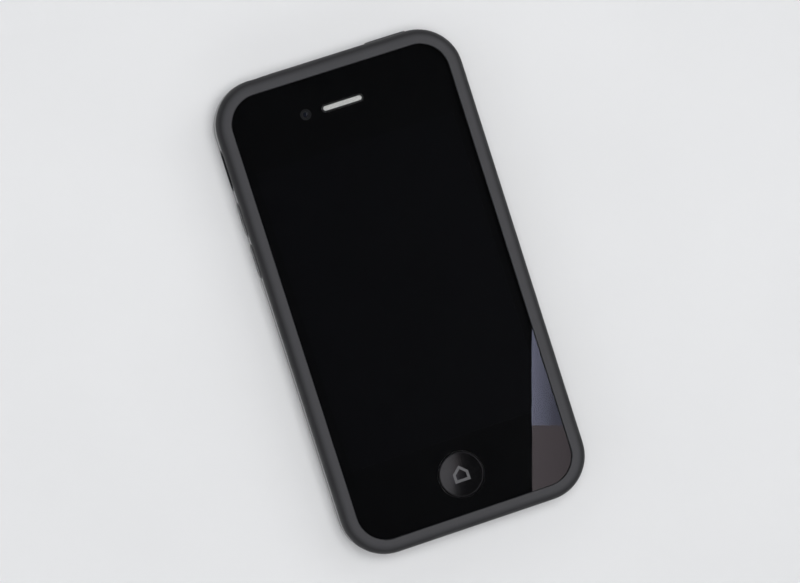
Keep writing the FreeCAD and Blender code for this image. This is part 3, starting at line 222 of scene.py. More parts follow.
def clear(name, tint, rough, smear=0.015, ground_edge=False):
    """Clear glass: a mirror by angle over a straight view through.

    Smear is the roughness that fingers add in patches. A ground edge is matte and dark on every wall
    that stands upright.
    """
    s = Shader(name)
    smears = s.ramp(s.noise(9 * MM, detail=5.0, roughness=0.7), 0.5, 0.8, rough, rough + smear)
    mirror = s.add("ShaderNodeBsdfGlossy", {"Color": WHITE, "Roughness": smears}).outputs[0]
    through = s.add("ShaderNodeBsdfTransparent", {"Color": tint}).outputs[0]
    by_angle = s.add("ShaderNodeFresnel", {"IOR": 1.5}).outputs[0]
    front = s.math("SUBTRACT", 1.0, s.add("ShaderNodeNewGeometry").outputs["Backfacing"])
    share = s.math("MULTIPLY", by_angle, front)
    glass = s.add("ShaderNodeMixShader", {0: share, 1: through, 2: mirror}).outputs[0]
    if ground_edge:
        matte = {"Base Color": (0.01, 0.01, 0.011), "Roughness": 0.5}
        ground = s.add("ShaderNodeBsdfPrincipled", matte).outputs[0]
        upright = s.ramp(s.math("ABSOLUTE", s.facing_up("True Normal")), 0.5, 0.2)
        glass = s.add("ShaderNodeMixShader", {0: upright, 1: glass, 2: ground}).outputs[0]
    return s.finish(glass)


# ---------------------------------------------------------------- the finishes, by the record's slots


def case_rubber():
    """Matte flexible plastic with a fine spark-eroded texture; the upward-facing crown of the lip is painted
    paler, as painted light from above.
    """

    def painted_top_light(s, tint, normal):
        # Painted light: faces that point up are mixed towards a paler colour, as if lit from above.
        top = s.ramp(s.facing_up(), 0.78, 0.995)
        return s.mix_colour(top, tint, (0.054, 0.054, 0.058)), normal

    return solid(
        "case_rubber",
        (0.017, 0.017, 0.019),
        rough=(0.5, 0.62),
        vary=0.1,
        patch=7 * MM,
        grain=0.16 * MM,
        depth=14 * MICRON,
        worn=(0.075, 0.075, 0.08),
        worn_width=0.5 * MM,
        specular=0.35,
        layer=painted_top_light,
    )


def case_gloss():
    """Hard satin inlay, smoother and darker than the frame, with a faint grain along it."""
    return solid(
        "case_gloss",
        (0.014, 0.014, 0.016),
        rough=(0.2, 0.26),
        vary=0.08,
        patch=9 * MM,
        grain=0.08 * MM,
        depth=0.6 * MICRON,
        stretch=(0.3, 0.3, 1.0),
        worn=(0.05, 0.05, 0.054),
        worn_width=0.2 * MM,
    )


def brushed(name, colour, rough, along, worn=(0.9, 0.9, 0.9), patch=3 * MM):
    """Steel with hairlines that run along one axis, and bright edges."""
    stretch = tuple(0.04 if axis == along else 1.0 for axis in "xyz")
    return solid(
        name,
        colour,
        rough=rough,
        metal=1.0,
        vary=0.12,
        patch=patch,
        grain=0.07 * MM,
        depth=2.5 * MICRON,
        stretch=stretch,
        worn=worn,
        worn_width=0.15 * MM,
        worn_amount=0.7,
    )


def circuit_lacquer():
    """Green lacquer over copper: fine tracks show through as a slight relief."""

    def tracks(s, tint, normal):
        layout = {"Vector": s.place, "Scale": 900.0, "Mortar Size": 0.03}
        height = s.add("ShaderNodeTexBrick", layout).outputs["Fac"]
        tint = s.mix_colour(s.math("MULTIPLY", height, 0.35), tint, (0.02, 0.09, 0.05))
        return tint, s.bump(height, 20 * MICRON, under=normal)

    return solid("board_green", (0.008, 0.035, 0.022), rough=(0.22, 0.35), vary=0.2, layer=tracks)


def battery_foil():
    """Matte foil wrapped round the cell, creased at its sealed edges."""

    def creases(s, tint, normal):
        height = s.ramp(s.cell_edges(9 * MM), 0.0, 0.12)
        return tint, s.bump(height, 60 * MICRON, under=normal)

    return solid(
        "battery_foil",
        (0.03, 0.03, 0.032),
        rough=(0.35, 0.5),
        grain=0.25 * MM,
        depth=8 * MICRON,
        layer=creases,
    )


def display_film():
    """Switched-off panel: nearly black, with a grid of dots and a faint blue cast of the polariser."""

    def dots(s, tint, normal):
        layout = {"Vector": s.place, "Scale": 6400.0, "Mortar Size": 0.02}
        gaps = s.add("ShaderNodeTexBrick", layout, offset=0.0).outputs["Fac"]
        return s.mix_colour(s.math("MULTIPLY", gaps, 0.5), tint, (0.002, 0.002, 0.003)), normal

    blue_black = (0.0018, 0.0018, 0.0024)
    return solid("display", blue_black, rough=(0.3, 0.36), vary=0.1, layer=dots, specular=0.06)


def rear_ink_glass():
    """Black ink under polished glass: a deep clear coat over a dull black."""
    return solid(
        "rear_glass",
        (0.004, 0.004, 0.0045),
        rough=(0.05, 0.11),
        vary=0.2,
        patch=11 * MM,
        coat=1.0,
        worn=(0.03, 0.03, 0.032),
        worn_width=0.1 * MM,
    )


def amber_film():
    """Flexible circuit: amber film with copper lines running under it."""

    def copper(s, tint, normal):
        layout = {"Vector": s.place, "Scale": 700.0}
        lines = s.add("ShaderNodeTexWave", layout, bands_direction="Y").outputs["Fac"]
        return s.mix_colour(s.math("MULTIPLY", lines, 0.5), tint, (0.32, 0.1, 0.02)), normal

    return solid("flex_film", (0.2, 0.075, 0.015), rough=(0.25, 0.4), vary=0.2, layer=copper)


def moulded(name, colour, rough=(0.42, 0.55), worn=(0.06, 0.06, 0.062)):
    """Plain moulded plastic with a fine tool texture."""
    return solid(
        name,
        colour,
        rough=rough,
        grain=0.12 * MM,
        depth=5 * MICRON,
        worn=worn,
        worn_width=0.12 * MM,
    )


def woven_steel():
    """Bright wire of the screens, dulled by handling."""
    return solid("mesh_steel", (0.8, 0.8, 0.79), rough=(0.3, 0.42), metal=0.15, patch=0.3 * MM)


def key_lacquer():
    """Glossy black lacquer of the round key, with a rim rubbed a little paler."""
    return solid(
        "home_key",
        (0.003, 0.003, 0.0034),
        rough=(0.15, 0.2),
        grain=0.09 * MM,
        depth=0.5 * MICRON,
        worn=(0.012, 0.012, 0.013),
        worn_width=0.12 * MM,
    )


def card_stock():
    """White plastic of the card, with a very fine grain."""
    return solid(
        "card_plastic",
        (0.72, 0.72, 0.71),
        rough=(0.3, 0.38),
        vary=0.03,
        grain=0.3 * MM,
        depth=1 * MICRON,
    )


def finishes():
    """One finish for each material slot of the record."""
    return {
        "case_rubber": case_rubber(),
        "case_gloss": case_gloss(),
        "case_keys": moulded("case_keys", (0.028, 0.028, 0.03), rough=(0.34, 0.44)),
        "band_steel": brushed("band_steel", (0.5, 0.5, 0.49), (0.24, 0.34), along="y"),
        "band_gap": moulded("band_gap", (0.012, 0.012, 0.013)),
        "black_bezel": moulded("black_bezel", (0.006, 0.006, 0.0065), rough=(0.28, 0.38)),
        "front_glass": clear("front_glass", (0.96, 0.97, 0.97), 0.004, ground_edge=True),
        "rear_glass": rear_ink_glass(),
        "display": display_film(),
        "sheet_steel": brushed("sheet_steel", (0.5, 0.5, 0.49), (0.28, 0.4), along="x"),
        "mesh_steel": woven_steel(),
        "module_black": moulded("module_black", (0.014, 0.014, 0.015)),
        "home_key": key_lacquer(),
        "seal_rubber": moulded("seal_rubber", (0.014, 0.014, 0.014), rough=(0.6, 0.75)),
        "key_steel": brushed("key_steel", (0.62, 0.62, 0.61), (0.2, 0.3), along="y"),
        "signal_orange": moulded("signal_orange", (0.75, 0.13, 0.015), worn=(0.85, 0.3, 0.1)),
        "socket_black": moulded("socket_black", (0.012, 0.012, 0.013)),
        "contact_gold": brushed("contact_gold", (0.83, 0.58, 0.24), (0.18, 0.28), along="y", patch=0.8 * MM),
        "screw_steel": brushed("screw_steel", (0.5, 0.5, 0.5), (0.22, 0.34), along="z", patch=0.6 * MM),
        "lens_ring": brushed("lens_ring", (0.1, 0.1, 0.105), (0.2, 0.3), along="z", worn=(0.5, 0.5, 0.5)),
        "lens_glass": clear("lens_glass", (0.93, 0.95, 0.97), 0.002, smear=0.006),
        "flash_lens": clear("flash_lens", (0.95, 0.94, 0.88), 0.05),
        "board_green": circuit_lacquer(),
        "chip_black": moulded("chip_black", (0.02, 0.02, 0.021), rough=(0.5, 0.65)),
        "battery_foil": battery_foil(),
        "card_plastic": card_stock(),
        "flex_film": amber_film(),
        "motor_steel": brushed("motor_steel", (0.52, 0.52, 0.52), (0.2, 0.32), along="x", patch=1 * MM),
    }


def dress_nodes(made):
    """Give every CAD node the finish of its slot."""
    for part in frame["record"]["subparts"]:
        node = frame["nodes"][part["node"]]
        node.data.materials.clear()
        node.data.materials.append(made[part["material_slot"]])


# ---------------------------------------------------------------- mesh helpers


def placed(name, data):
    """An object in the scene for a mesh, a lamp or a camera."""
    thing = bpy.data.objects.new(name, data)
    bpy.context.scene.collection.objects.link(thing)
    return thing


def new_piece(name, vertices, faces, material, body="root", smooth=True, slot=None):
    """A mesh piece with outward faces, riding on a body."""
    mesh = bpy.data.meshes.new(name)
    mesh.from_pydata([tuple(v) for v in vertices], [], faces)
    work = bmesh.new()
    work.from_mesh(mesh)
    bmesh.ops.recalc_face_normals(work, faces=work.faces)
    work.to_mesh(mesh)
    work.free()
    if smooth:
        mesh.shade_smooth()
        mesh.set_sharp_from_angle(angle=math.radians(35))
    mesh.materials.append(material)
    piece = placed(name, mesh)
    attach(piece, body)
    return piece


class Build:
    """Vertices and faces gathered from several closed shapes into one mesh."""

    def __init__(self):
        self.vertices, self.faces = [], []

    def add(self, vertices, faces):
        start = len(self.vertices)
        self.vertices += [Vector(v) for v in vertices]
        self.faces += [tuple(start + i for i in face) for face in faces]

    def joined(self, loops):
        """A closed ring through loops of equally many points, the last joined to the first."""
        count = len(loops[0])
        faces = []
        for i in range(len(loops)):
            j = (i + 1) % len(loops)
            for k in range(count):
                m = (k + 1) % count
                faces.append((i * count + k, i * count + m, j * count + m, j * count + k))
        self.add([point for loop in loops for point in loop], faces)

    def turned(self, profile, centre, segments=72):
        """A closed profile of (radius, height) points turned about the Z axis through centre."""
        vertices, faces = [], []
        count = len(profile)
        for i in range(segments):
            angle = 2 * math.pi * i / segments
            for r, z in profile:
                vertices.append((centre[0] + r * math.cos(angle), centre[1] + r * math.sin(angle), z))
        for i in range(segments):
            j = (i + 1) % segments
            for k in range(count):
                m = (k + 1) % count
                faces.append((i * count + k, j * count + k, j * count + m, i * count + m))
        self.add(vertices, faces)

    def tube(self, points, radius, side):
        """A closed round wire through points that lie in one plane. Side is that plane's normal."""
        sides = 6
        vertices, faces = [], []
        last = len(points) - 1
        for i, point in enumerate(points):
            along = (points[min(i + 1, last)] - points[max(i - 1, 0)]).normalized()
            across = side.cross(along)
            for k in range(sides):
                angle = 2 * math.pi * k / sides
                vertices.append(point + radius * (math.cos(angle) * side + math.sin(angle) * across))
        for i in range(last):
            for k in range(sides):
                m = (k + 1) % sides
                faces.append((i * sides + k, i * sides + m, (i + 1) * sides + m, (i + 1) * sides + k))
        faces.append(tuple(range(sides)))
        faces.append(tuple(last * sides + k for k in reversed(range(sides))))
        self.add(vertices, faces)

    def prism(self, outline, low, high):
        """A closed plate: an outline of (x, y) points between two heights."""
        count = len(outline)
        vertices = [(x, y, low) for x, y in outline] + [(x, y, high) for x, y in outline]
        faces = [tuple(reversed(range(count))), tuple(range(count, 2 * count))]
        faces += [(k, (k + 1) % count, count + (k + 1) % count, count + k) for k in range(count)]
        self.add(vertices, faces)

    def piece(self, name, material, **options):
        return new_piece(name, self.vertices, self.faces, material, **options)


def corner_arc(centre, radius, start, steps):
    """Points of a quarter circle, from an angle in quarter turns."""
    angles = [math.pi / 2 * (start + i / steps) for i in range(steps + 1)]
    return [(centre[0] + radius * math.cos(a), centre[1] + radius * math.sin(a)) for a in angles]


def round_rectangle(width, length, radius, centre=(0, 0), steps=10):
    """Outline points of a rectangle with round corners, anticlockwise."""
    x, y = width / 2 - radius, length / 2 - radius
    points = []
    for quarter, (along, across) in enumerate(((x, y), (-x, y), (-x, -y), (x, -y))):
        points += corner_arc((centre[0] + along, centre[1] + across), radius, quarter, steps)
    return points


def circle(radius, centre, steps=48):
    angles = [2 * math.pi * i / steps for i in range(steps)]
    return [(centre[0] + radius * math.cos(a), centre[1] + radius * math.sin(a)) for a in angles]


def middle(node):
    low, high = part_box(node)
    return (low + high) / 2


def extent(node):
    """A node's size along each axis."""
    low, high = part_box(node)
    return high - low


# ---------------------------------------------------------------- printed ink under the front glass

INK_THICK = 0.03 * MM


def cut_sheet(name, outline, holes, low, high, material):
    """A thin plate with holes, filled flat between its loops and then given its thickness."""
    work = bmesh.new()
    for loop in [outline, *holes]:
        ring = [work.verts.new((x, y, low)) for x, y in loop]
        for first, second in zip(ring, ring[1:] + ring[:1]):
            work.edges.new((first, second))
    bmesh.ops.triangle_fill(work, use_beauty=True, edges=work.edges[:])
    made = bmesh.ops.extrude_face_region(work, geom=work.faces[:])
    for vertex in (v for v in made["geom"] if isinstance(v, bmesh.types.BMVert)):
        vertex.co.z = high
    bmesh.ops.recalc_face_normals(work, faces=work.faces)
    mesh = bpy.data.meshes.new(name)
    work.to_mesh(mesh)
    work.free()
    mesh.materials.append(material)
    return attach(placed(name, mesh), "root")


def ink_top():
    """The ink lies just under the glass."""
    low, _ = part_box("front_glass")
    return low.z - 0.005 * MM


def front_ink():
    """Black ink printed under the glass, with openings for the display, the earpiece and the camera."""
    glass = extent("front_glass")
    inset = 0.15 * MM
    outline = round_rectangle(glass.x - 2 * inset, glass.y - 2 * inset, 8.4 * MM)
    panel = extent("display_panel")
    side_border, end_border = 1.3 * MM, 2.3 * MM
    window_size = (panel.x - 2 * side_border, panel.y - 2 * end_border)
    window = round_rectangle(*window_size, 0.3 * MM, steps=3)
    slot = extent("earpiece_mesh")
    margin = 0.08 * MM
    slot_radius = slot.y / 2 + margin
    ear_size = (slot.x + 2 * margin, 2 * slot_radius)
    ear = round_rectangle(*ear_size, slot_radius * 0.999, middle("earpiece_mesh"))
    key_hole = circle(5.65 * MM, middle("home_button"))
    camera_hole = circle(1.35 * MM, middle("front_camera"), 32)
    holes = [window, ear, key_hole, camera_hole]
    ink = solid("ink", (0.0016, 0.0016, 0.0019), rough=(0.3, 0.36), vary=0.15, specular=0.05)
    top = ink_top()
    sheet = cut_sheet("front_ink", outline, holes, top - INK_THICK, top, ink)


def sensor_window():
    """A dark violet window over the light sensor, just under the ink."""
    top = ink_top()
    spot = Build()
    outline = round_rectangle(3.4 * MM, 1.1 * MM, 0.5 * MM, middle("light_sensor"))
    spot.prism(outline, top - 2 * INK_THICK, top - 1.2 * INK_THICK)
    tint = solid("sensor_tint", (0.016, 0.014, 0.022), rough=(0.2, 0.3), vary=0.2)
    spot.piece("sensor_tint", tint, slot="front_glass")


# ---------------------------------------------------------------- woven screens


def woven(build, half_length, half_height, centre, u, v, pitch, wire):
    """Plain weave in a slot with round ends. u runs along the slot and v across it."""
    normal = u.cross(v)
    flat = half_length - half_height
    wave = wire * 0.95  # how far a strand swings over and under the others
    points_per_pitch = 4

    def strands(span, reach_at, along, across):
        count = int(span / pitch)
        for i in range(-count, count + 1):
            offset = i * pitch
            reach = reach_at(abs(offset)) - wire
            if reach < pitch:
                continue
            steps = max(int(reach / pitch * points_per_pitch), 2)
            sign = 1 if (i % 2 == 0) == (along is u) else -1
            points = []
            for k in range(-steps, steps + 1):
                s = reach * k / steps
                lift = sign * wave / 2 * math.cos(math.pi * s / pitch)
                points.append(centre + along * s + across * offset + normal * lift)
            build.tube(points, wire / 2, across)

    def reach_along(offset):
        return flat + math.sqrt(max(half_height**2 - offset**2, 0.0))

    def reach_across(offset):
        past = max(offset - flat, 0.0)
        return math.sqrt(max(half_height**2 - past**2, 0.0))

    strands(half_height, reach_along, u, v)
    strands(half_length, reach_across, v, u)


def slot_ring(build, half_length, half_height, wall, centre, u, v, depth):
    """A closed ring round a slot with round ends. Its depth is measured along the normal."""
    normal = u.cross(v)
    flat = half_length - half_height
    steps = 12

    def loop(radius, height):
        points = []
        for end, turn in ((1, -0.5), (-1, 0.5)):
            for k in range(steps + 1):
                angle = math.pi * (turn + k / steps)
                across = u * (end * flat + radius * math.cos(angle)) + v * radius * math.sin(angle)
                points.append(centre + across + normal * height)
        return points

    inside = half_height - wall
    build.joined([loop(half_height, 0), loop(inside, 0), loop(inside, depth), loop(half_height, depth)])


def earpiece_screen(made):
    """Woven wire, a little below the glass, in a black frame that lines the slot."""
    low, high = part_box("earpiece_mesh")
    size, centre = high - low, (low + high) / 2
    wall, sunk, floor_gap = 0.28 * MM, 0.15 * MM, 0.05 * MM
    weave = Build()
    deck = Vector((centre.x, centre.y, high.z - sunk))
    woven(weave, size.x / 2 - wall, size.y / 2 - wall, deck, X, Y, 0.17 * MM, 0.1 * MM)
    piece = weave.piece("earpiece_weave", made["mesh_steel"], slot="mesh_steel")
    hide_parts("earpiece_mesh")
    lining = Build()
    rim = Vector((centre.x, centre.y, high.z))
    slot_ring(lining, size.x / 2, size.y / 2, wall, rim, X, Y, floor_gap - size.z)
    lining.piece("earpiece_frame", made["black_bezel"], slot="black_bezel")


def bottom_grilles(made):
    """Woven wire with a steel rim in the openings on both sides of the dock connector."""
    low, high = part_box("bottom_meshes")
    half_length, half_height = 3.25 * MM, (high.z - low.z) / 2
    wall, depth = 0.12 * MM, 0.26 * MM
    grilles = Build()
    for side in (-1, 1):
        at = side * (high.x - half_length)
        centre = Vector((at, low.y + 0.12 * MM, (low.z + high.z) / 2))
        woven(grilles, half_length, half_height, centre, X, Z, 0.24 * MM, 0.11 * MM)
        rim = Vector((at, low.y + 0.02 * MM, centre.z))
        slot_ring(grilles, half_length, half_height, wall, rim, X, Z, -depth)
    piece = grilles.piece("grille_weave", made["mesh_steel"], slot="mesh_steel")
    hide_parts("bottom_meshes")


# ---------------------------------------------------------------- lenses

LENS_EDGE = 0.12 * MM  # thickness of a lens at its rim


def dome(radius, rise, base):
    """Profile points of a shallow dome from its rim to the axis, above a base height."""
    steps = 8
    ball = (radius**2 + rise**2) / (2 * rise)
    edge = math.asin(radius / ball)
    angles = [edge * (1 - i / steps) for i in range(steps + 1)]
    return [(max(ball * math.sin(a), AXIS), base + ball * math.cos(a) - ball + rise) for a in angles]


def lens_coating(name, colour):
    """Curved lens glass: black inside, with a coloured reflection from its coating, plus a painted coloured
    sheen in its base colour that brightens towards grazing angles.
    """
    s = Shader(name)
    # Painted sheen: the base colour brightens and takes the coating's colour towards grazing angles,
    # standing in for reflection.
    painted_sheen_by_angle = s.add("ShaderNodeLayerWeight", {"Blend": 0.35}).outputs["Facing"]
    tint = s.mix_colour(painted_sheen_by_angle, tuple(c * 0.35 for c in colour), colour)
    bands = s.noise(0.8 * MM, detail=2.0)
    inputs = {
        "Base Color": s.mix_colour(s.ramp(bands, 0.3, 0.7, 0.0, 0.4), (0.004, 0.004, 0.006), tint),
        "Roughness": s.ramp(bands, 0.3, 0.7, 0.02, 0.06),
        "Coat Weight": 1.0,
        "Coat Tint": colour,
        "Specular Tint": colour,
    }
    return s.finish(s.add("ShaderNodeBsdfPrincipled", inputs).outputs["BSDF"])


def front_lens():
    """The front camera: a module with a stepped black barrel, and a small coated dome at its middle."""
    low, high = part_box("front_camera")
    centre = (low + high) / 2
    top = high.z
    gap = 0.02 * MM
    # radius and depth below the glass, in millimetres
    bottom = 0.6
    rim = [(1.6, bottom), (1.6, 0.0), (1.25, 0.0)]
    terraces = [(1.15, 0.12), (0.9, 0.12), (0.8, 0.28), (0.62, 0.28), (0.62, bottom)]
    body = Build()
    block = round_rectangle(high.x - low.x, high.y - low.y, 0.6 * MM, centre)
    body.prism(block, low.z, top - bottom * MM - gap)
    body.turned([(r * MM, top - down * MM) for r, down in rim + terraces], centre)
    barrel = solid("camera_barrel_ink", (0.013, 0.013, 0.014), rough=(0.3, 0.4), vary=0.2, specular=0.3)
    piece = body.piece("front_camera_unit", barrel, slot="module_black")
    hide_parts("front_camera")
    lens = Build()
    radius, rise = 0.6 * MM, 0.16 * MM
    base = top - 0.45 * MM
    back = base - LENS_EDGE
    lens.turned([(radius, back), *dome(radius, rise, base), (AXIS, back)], centre, 48)
    lens.piece("front_lens_dome", lens_coating("front_lens_coat", (0.2, 0.22, 0.34)), slot="lens_glass")


def rear_lenses():
    """Two coated elements in the focusing barrel. They travel with it."""
    low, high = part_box("camera_barrel")
    centre = (low + high) / 2
    outer, inner = (1.64 * MM, 0.3 * MM, 0.2 * MM), (1.0 * MM, 0.72 * MM, 0.16 * MM)
    stack = Build()
    for radius, near, rise in (outer, inner):
        back = low.z + near + LENS_EDGE
        facing_down = [(r, 2 * back - z - LENS_EDGE) for r, z in dome(radius, rise, back)]
        stack.turned([(radius, back), *facing_down, (AXIS, back)], centre, 64)
    coat = lens_coating("rear_lens_coat", (0.2, 0.1, 0.42))
    stack.piece("rear_lens_elements", coat, body="focus_barrel", slot="lens_glass")


def flash(made):
    """The lamp: a yellow phosphor tile under a clear lens with concentric steps."""
    low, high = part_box("flash_lamp")
    centre = (low + high) / 2
    radius = (high.x - low.x) / 2
    inside, first_tooth, span = radius * 0.85, radius * 0.92, radius * 0.8
    face, back = low.z, high.z
    roof = face + 0.4 * MM
    teeth, tooth_width, tooth_depth = 6, 0.04 * MM, 0.1 * MM
    profile = [(radius, back), (radius, face)]
    for i in range(teeth):
        outer = first_tooth - span * i / teeth
        profile += [(outer, face), (outer - tooth_width, face + tooth_depth)]
    profile += [(AXIS, face + 0.02 * MM), (AXIS, roof), (inside, roof), (inside, back)]
    lens = Build()
    lens.turned(profile, centre, 64)
    piece = lens.piece("flash_lens", made["flash_lens"], slot="flash_lens")
    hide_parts("flash_lamp")
    tile = Build()
    width = radius * 1.05
    tile.prism(round_rectangle(width, width, 0.2 * MM, centre), face + 0.6 * MM, back - 0.1 * MM)
    phosphor = moulded("phosphor", (0.8, 0.62, 0.12), rough=(0.5, 0.7), worn=(0.9, 0.8, 0.3))
    tile.piece("flash_phosphor", phosphor, slot="flash_lens")


# ---------------------------------------------------------------- the round key's symbol


def house(half, eaves, apex, foot):
    """Corners of a gabled house, anticlockwise from the left of its foot."""
    return [(-half, foot), (half, foot), (half, eaves), (0.0, apex), (-half, eaves)]


def along_edges(corners, parts):
    """Points along a closed outline, with each edge in equal parts, so that it can follow a curve."""
    points = []
    for (ax, ay), (bx, by) in zip(corners, corners[1:] + corners[:1]):
        points += [(ax + (bx - ax) * i / parts, ay + (by - ay) * i / parts) for i in range(parts)]
    return points


def home_symbol():
    """A plain house outline printed in the dish of the round key."""
    low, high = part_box("home_button")
    centre = (low + high) / 2
    key_radius, land, depth = 5.5 * MM, 0.35 * MM, 0.35 * MM
    reach = key_radius - land
    ball = (reach**2 + depth**2) / (2 * depth)
    dish_low = high.z - depth

    def on_dish(points, lift):
        heights = [dish_low + ball - math.sqrt(ball**2 - (x * x + y * y)) + lift for x, y in points]
        return [(centre.x + x, centre.y + y, z) for (x, y), z in zip(points, heights)]

    half, eaves, apex, foot, stroke = 1.95 * MM, 0.45 * MM, 2.2 * MM, -1.8 * MM, 0.66 * MM
    slope = (apex - eaves) / half
    drop = stroke * math.sqrt(1 + slope**2)
    inner_eaves = eaves + slope * stroke - drop
    parts = 6
    outer = along_edges(house(half, eaves, apex, foot), parts)
    inner = along_edges(house(half - stroke, inner_eaves, apex - drop, foot + stroke), parts)
    proud, sunk = 8 * MICRON, -6 * MICRON
    rings = ((outer, proud), (inner, proud), (inner, sunk), (outer, sunk))
    build = Build()
    build.joined([on_dish(points, lift) for points, lift in rings])
    paint = moulded("symbol_paint", (0.1, 0.1, 0.105), rough=(0.4, 0.55), worn=(0.12, 0.12, 0.12))
    build.piece("home_symbol", paint, body="home_key", slot="home_key", smooth=False)


# ---------------------------------------------------------------- floor, light and camera

LEAN = math.radians(17.9)  # how far the phone's long side leans anticlockwise in view
TILT = math.radians(8.6)  # how far the camera leans to the viewer's left of straight above
VIEW_RIGHT = Vector((math.cos(LEAN), -math.sin(LEAN), 0))
VIEW_UP = Vector((math.sin(LEAN), math.cos(LEAN), 0))
DISTANCE = 0.82  # from the camera to the phone


def seen(right, up, height):
    """A point given by how far it is to the viewer's right, up the view and above the floor."""
    return VIEW_RIGHT * right + VIEW_UP * up + Vector((0, 0, height))


def aim(thing, target, up):
    """Turn a camera or a lamp to look at a target, keeping up towards the top of its view."""
    back = (thing.location - target).normalized()
    right = up.cross(back).normalized()
    top = back.cross(right)
    turn = Matrix((right, top, back)).transposed()
    thing.rotation_euler = turn.to_euler()


def floor():
    """A pale sheet that is flat under the phone and curves up all round into a backdrop."""
    flat, bend, wall = 1.3, 0.7, 0.9
    steps, segments = 10, 96
    gap = 0.02 * MM
    hub, inner = 1e-5, 0.4
    bend_angles = [math.pi / 2 * i / steps for i in range(1, steps + 1)]
    profile = [(hub, 0.0), (inner, 0.0), (flat, 0.0)]
    profile += [(flat + bend * math.sin(a), bend - bend * math.cos(a)) for a in bend_angles]
    profile.append((flat + bend, bend + wall))
    count = len(profile)
    vertices, faces = [], []
    for i in range(segments):
        angle = 2 * math.pi * i / segments
        vertices += [(r * math.cos(angle), r * math.sin(angle), z - gap) for r, z in profile]
    for i in range(segments):
        here, beyond = i * count, (i + 1) % segments * count
        faces += [(here + k, beyond + k, beyond + k + 1, here + k + 1) for k in range(count - 1)]
    s = Shader("paper")
    fibres = s.noise(0.5 * MM, detail=4.0)
    clouds = s.noise(60 * MM, detail=2.0)
    tint = s.mix_colour(s.ramp(clouds, 0.3, 0.7), (0.785, 0.79, 0.8), (0.805, 0.81, 0.82))
    inputs = {"Base Color": tint, "Roughness": 0.8, "Normal": s.bump(fibres, 6 * MICRON)}
    paper = s.finish(s.add("ShaderNodeBsdfPrincipled", inputs).outputs["BSDF"])
    mesh = bpy.data.meshes.new("floor")
    mesh.from_pydata(vertices, [], faces)
    mesh.shade_smooth()
    mesh.materials.append(paper)
    placed("floor", mesh)


def soft_light(name, at, size, power, colour=WHITE):
    """A flat rectangular lamp that faces the phone."""
    data = bpy.data.lights.new(name, "AREA")
    data.shape = "RECTANGLE"
    data.size, data.size_y = size
    data.energy = power
    data.color = colour
    lamp = placed(name, data)
    lamp.location = at
    aim(lamp, Vector((0, 0, 0)), VIEW_UP)


def globe(name, at, radius, power):
    """A round lamp that lights the floor and the backdrop evenly. The glass doesn't mirror it."""
    data = bpy.data.lights.new(name, "POINT")
    data.shadow_soft_size = radius
    data.energy = power
    lamp = placed(name, data)
    lamp.location = at
    lamp.visible_glossy = False


def glowing(name, colour, along, stops):
    """A light-giving surface. Each stop is a distance along a direction and the strength there."""
    s = Shader(name)
    distance = s.dot(s.place, along)
    strength = stops[0][1]
    for (start, _), (finish, last) in zip(stops, stops[1:]):
        reached = s.ramp(distance, start, finish)
        strength = s.mix_value(reached, strength, last)
    return s.finish(s.add("ShaderNodeEmission", {"Color": colour, "Strength": strength}).outputs[0])


def card(name, corners, material):
    """A panel that only mirror-like surfaces see."""
    mesh = bpy.data.meshes.new(name)
    mesh.from_pydata([tuple(corner) for corner in corners], [], [(0, 1, 2, 3)])
    mesh.materials.append(material)
    panel = placed(name, mesh)
    panel.visible_camera = False
    panel.visible_shadow = False
    panel.visible_diffuse = False


def ceiling_card(name, left, right, bottom, top, colour, stops):
    """A bright card overhead, by its edges in view. Its stops run to the viewer's right."""
    height = 1.0
    outline = [(left, bottom), (right, bottom), (right, top), (left, top)]
    corners = [seen(along, up, height) for along, up in outline]
    card(name, corners, glowing(name, colour, VIEW_RIGHT, stops))


def side_card(name, azimuth, low, high, edge, slope, strength):
    """A tall dark screen with a band of light above a sloping edge, for the glass to mirror."""
    turn = math.radians(azimuth)
    away = Vector((-math.sin(turn), math.cos(turn), 0))
    side = Vector((math.cos(turn), math.sin(turn), 0))
    reach, half_width = 1.2, 0.8
    left, right = away * reach - side * half_width, away * reach + side * half_width
    corners = [left + Z * low, right + Z * low, right + Z * high, left + Z * high]
    dim, weak = 0.02, strength * 0.2
    stops = [(edge, dim), (edge + 0.012, strength), (edge + 0.16, weak), (edge + 0.5, dim)]
    card(name, corners, glowing(name, WHITE, Z - side * slope, stops))


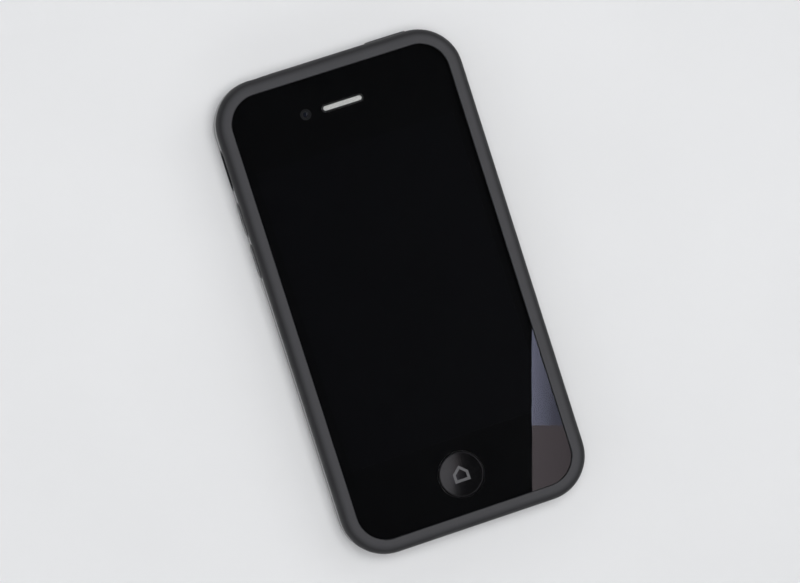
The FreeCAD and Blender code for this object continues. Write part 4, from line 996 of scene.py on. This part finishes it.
def light():
    """Even light from overhead, weak light from each side, and the cards that the glass mirrors."""
    globe("overhead", seen(-0.02, 0.06, 1.2), radius=0.38, power=41.5)
    soft_light("key", seen(0.75, 0.45, 0.95), size=(0.8, 0.6), power=2.0)
    soft_light("fill", seen(-0.8, -0.2, 0.9), size=(0.9, 0.9), power=1.2, colour=(0.95, 0.97, 1.0))
    soft_light("back", seen(-0.1, 1.0, 0.8), size=(1.0, 0.5), power=0.8)
    soft_light("front", seen(0.1, -1.0, 0.7), size=(1.0, 0.5), power=0.6)
    warm_edge, cool_edge, right_edge, seam = 0.2209, 0.2206, 0.27, -0.072
    warm, cool, pale = (1.0, 0.86, 0.925), (0.97, 1.0, 1.38), (0.96, 0.94, 1.0)
    warm_stops = [(warm_edge, 1.4), (warm_edge + 0.018, 1.15)]
    cool_stops = [(cool_edge, 2.7), (cool_edge + 0.013, 1.1)]
    dish_stops = [(right_edge, 1.2), (right_edge + 0.18, 1.5)]
    ceiling_card("card_warm", warm_edge, right_edge, -0.3, seam, warm, warm_stops)
    ceiling_card("card_cool", cool_edge, right_edge, seam, -0.02, cool, cool_stops)
    ceiling_card("card_dish", right_edge, 0.6, -0.42, 0.24, pale, dish_stops)
    side_card("card_far_left", 45, low=0.2, high=1.3, edge=0.56, slope=0.35, strength=1.2)
    side_card("card_far_right", 225, low=0.12, high=1.1, edge=0.33, slope=0.25, strength=0.7)
    world = bpy.data.worlds.new("world")
    world.use_nodes = True
    world.node_tree.nodes["Background"].inputs["Color"].default_value = (0.012, 0.012, 0.013, 1.0)
    bpy.context.scene.world = world


def camera():
    """Looks down on the phone from the viewer's left, far enough back to flatten the perspective."""
    data = bpy.data.cameras.new("camera")
    data.sensor_width = 36.0
    data.lens = 153.0
    data.clip_start, data.clip_end = 0.05, 20.0
    eye = placed("camera", data)
    target = Vector((0, 0, (cad_box[0].z + cad_box[1].z) / 2))
    eye.location = target + DISTANCE * (math.cos(TILT) * Z - math.sin(TILT) * VIEW_RIGHT)
    aim(eye, target, VIEW_UP)
    bpy.context.scene.camera = eye
    bpy.context.scene.view_settings.view_transform = "Standard"


# ---------------------------------------------------------------- put together

made = finishes()
dress_nodes(made)
front_ink()
sensor_window()
earpiece_screen(made)
bottom_grilles(made)
front_lens()
rear_lenses()
flash(made)
home_symbol()
floor()
light()
camera()
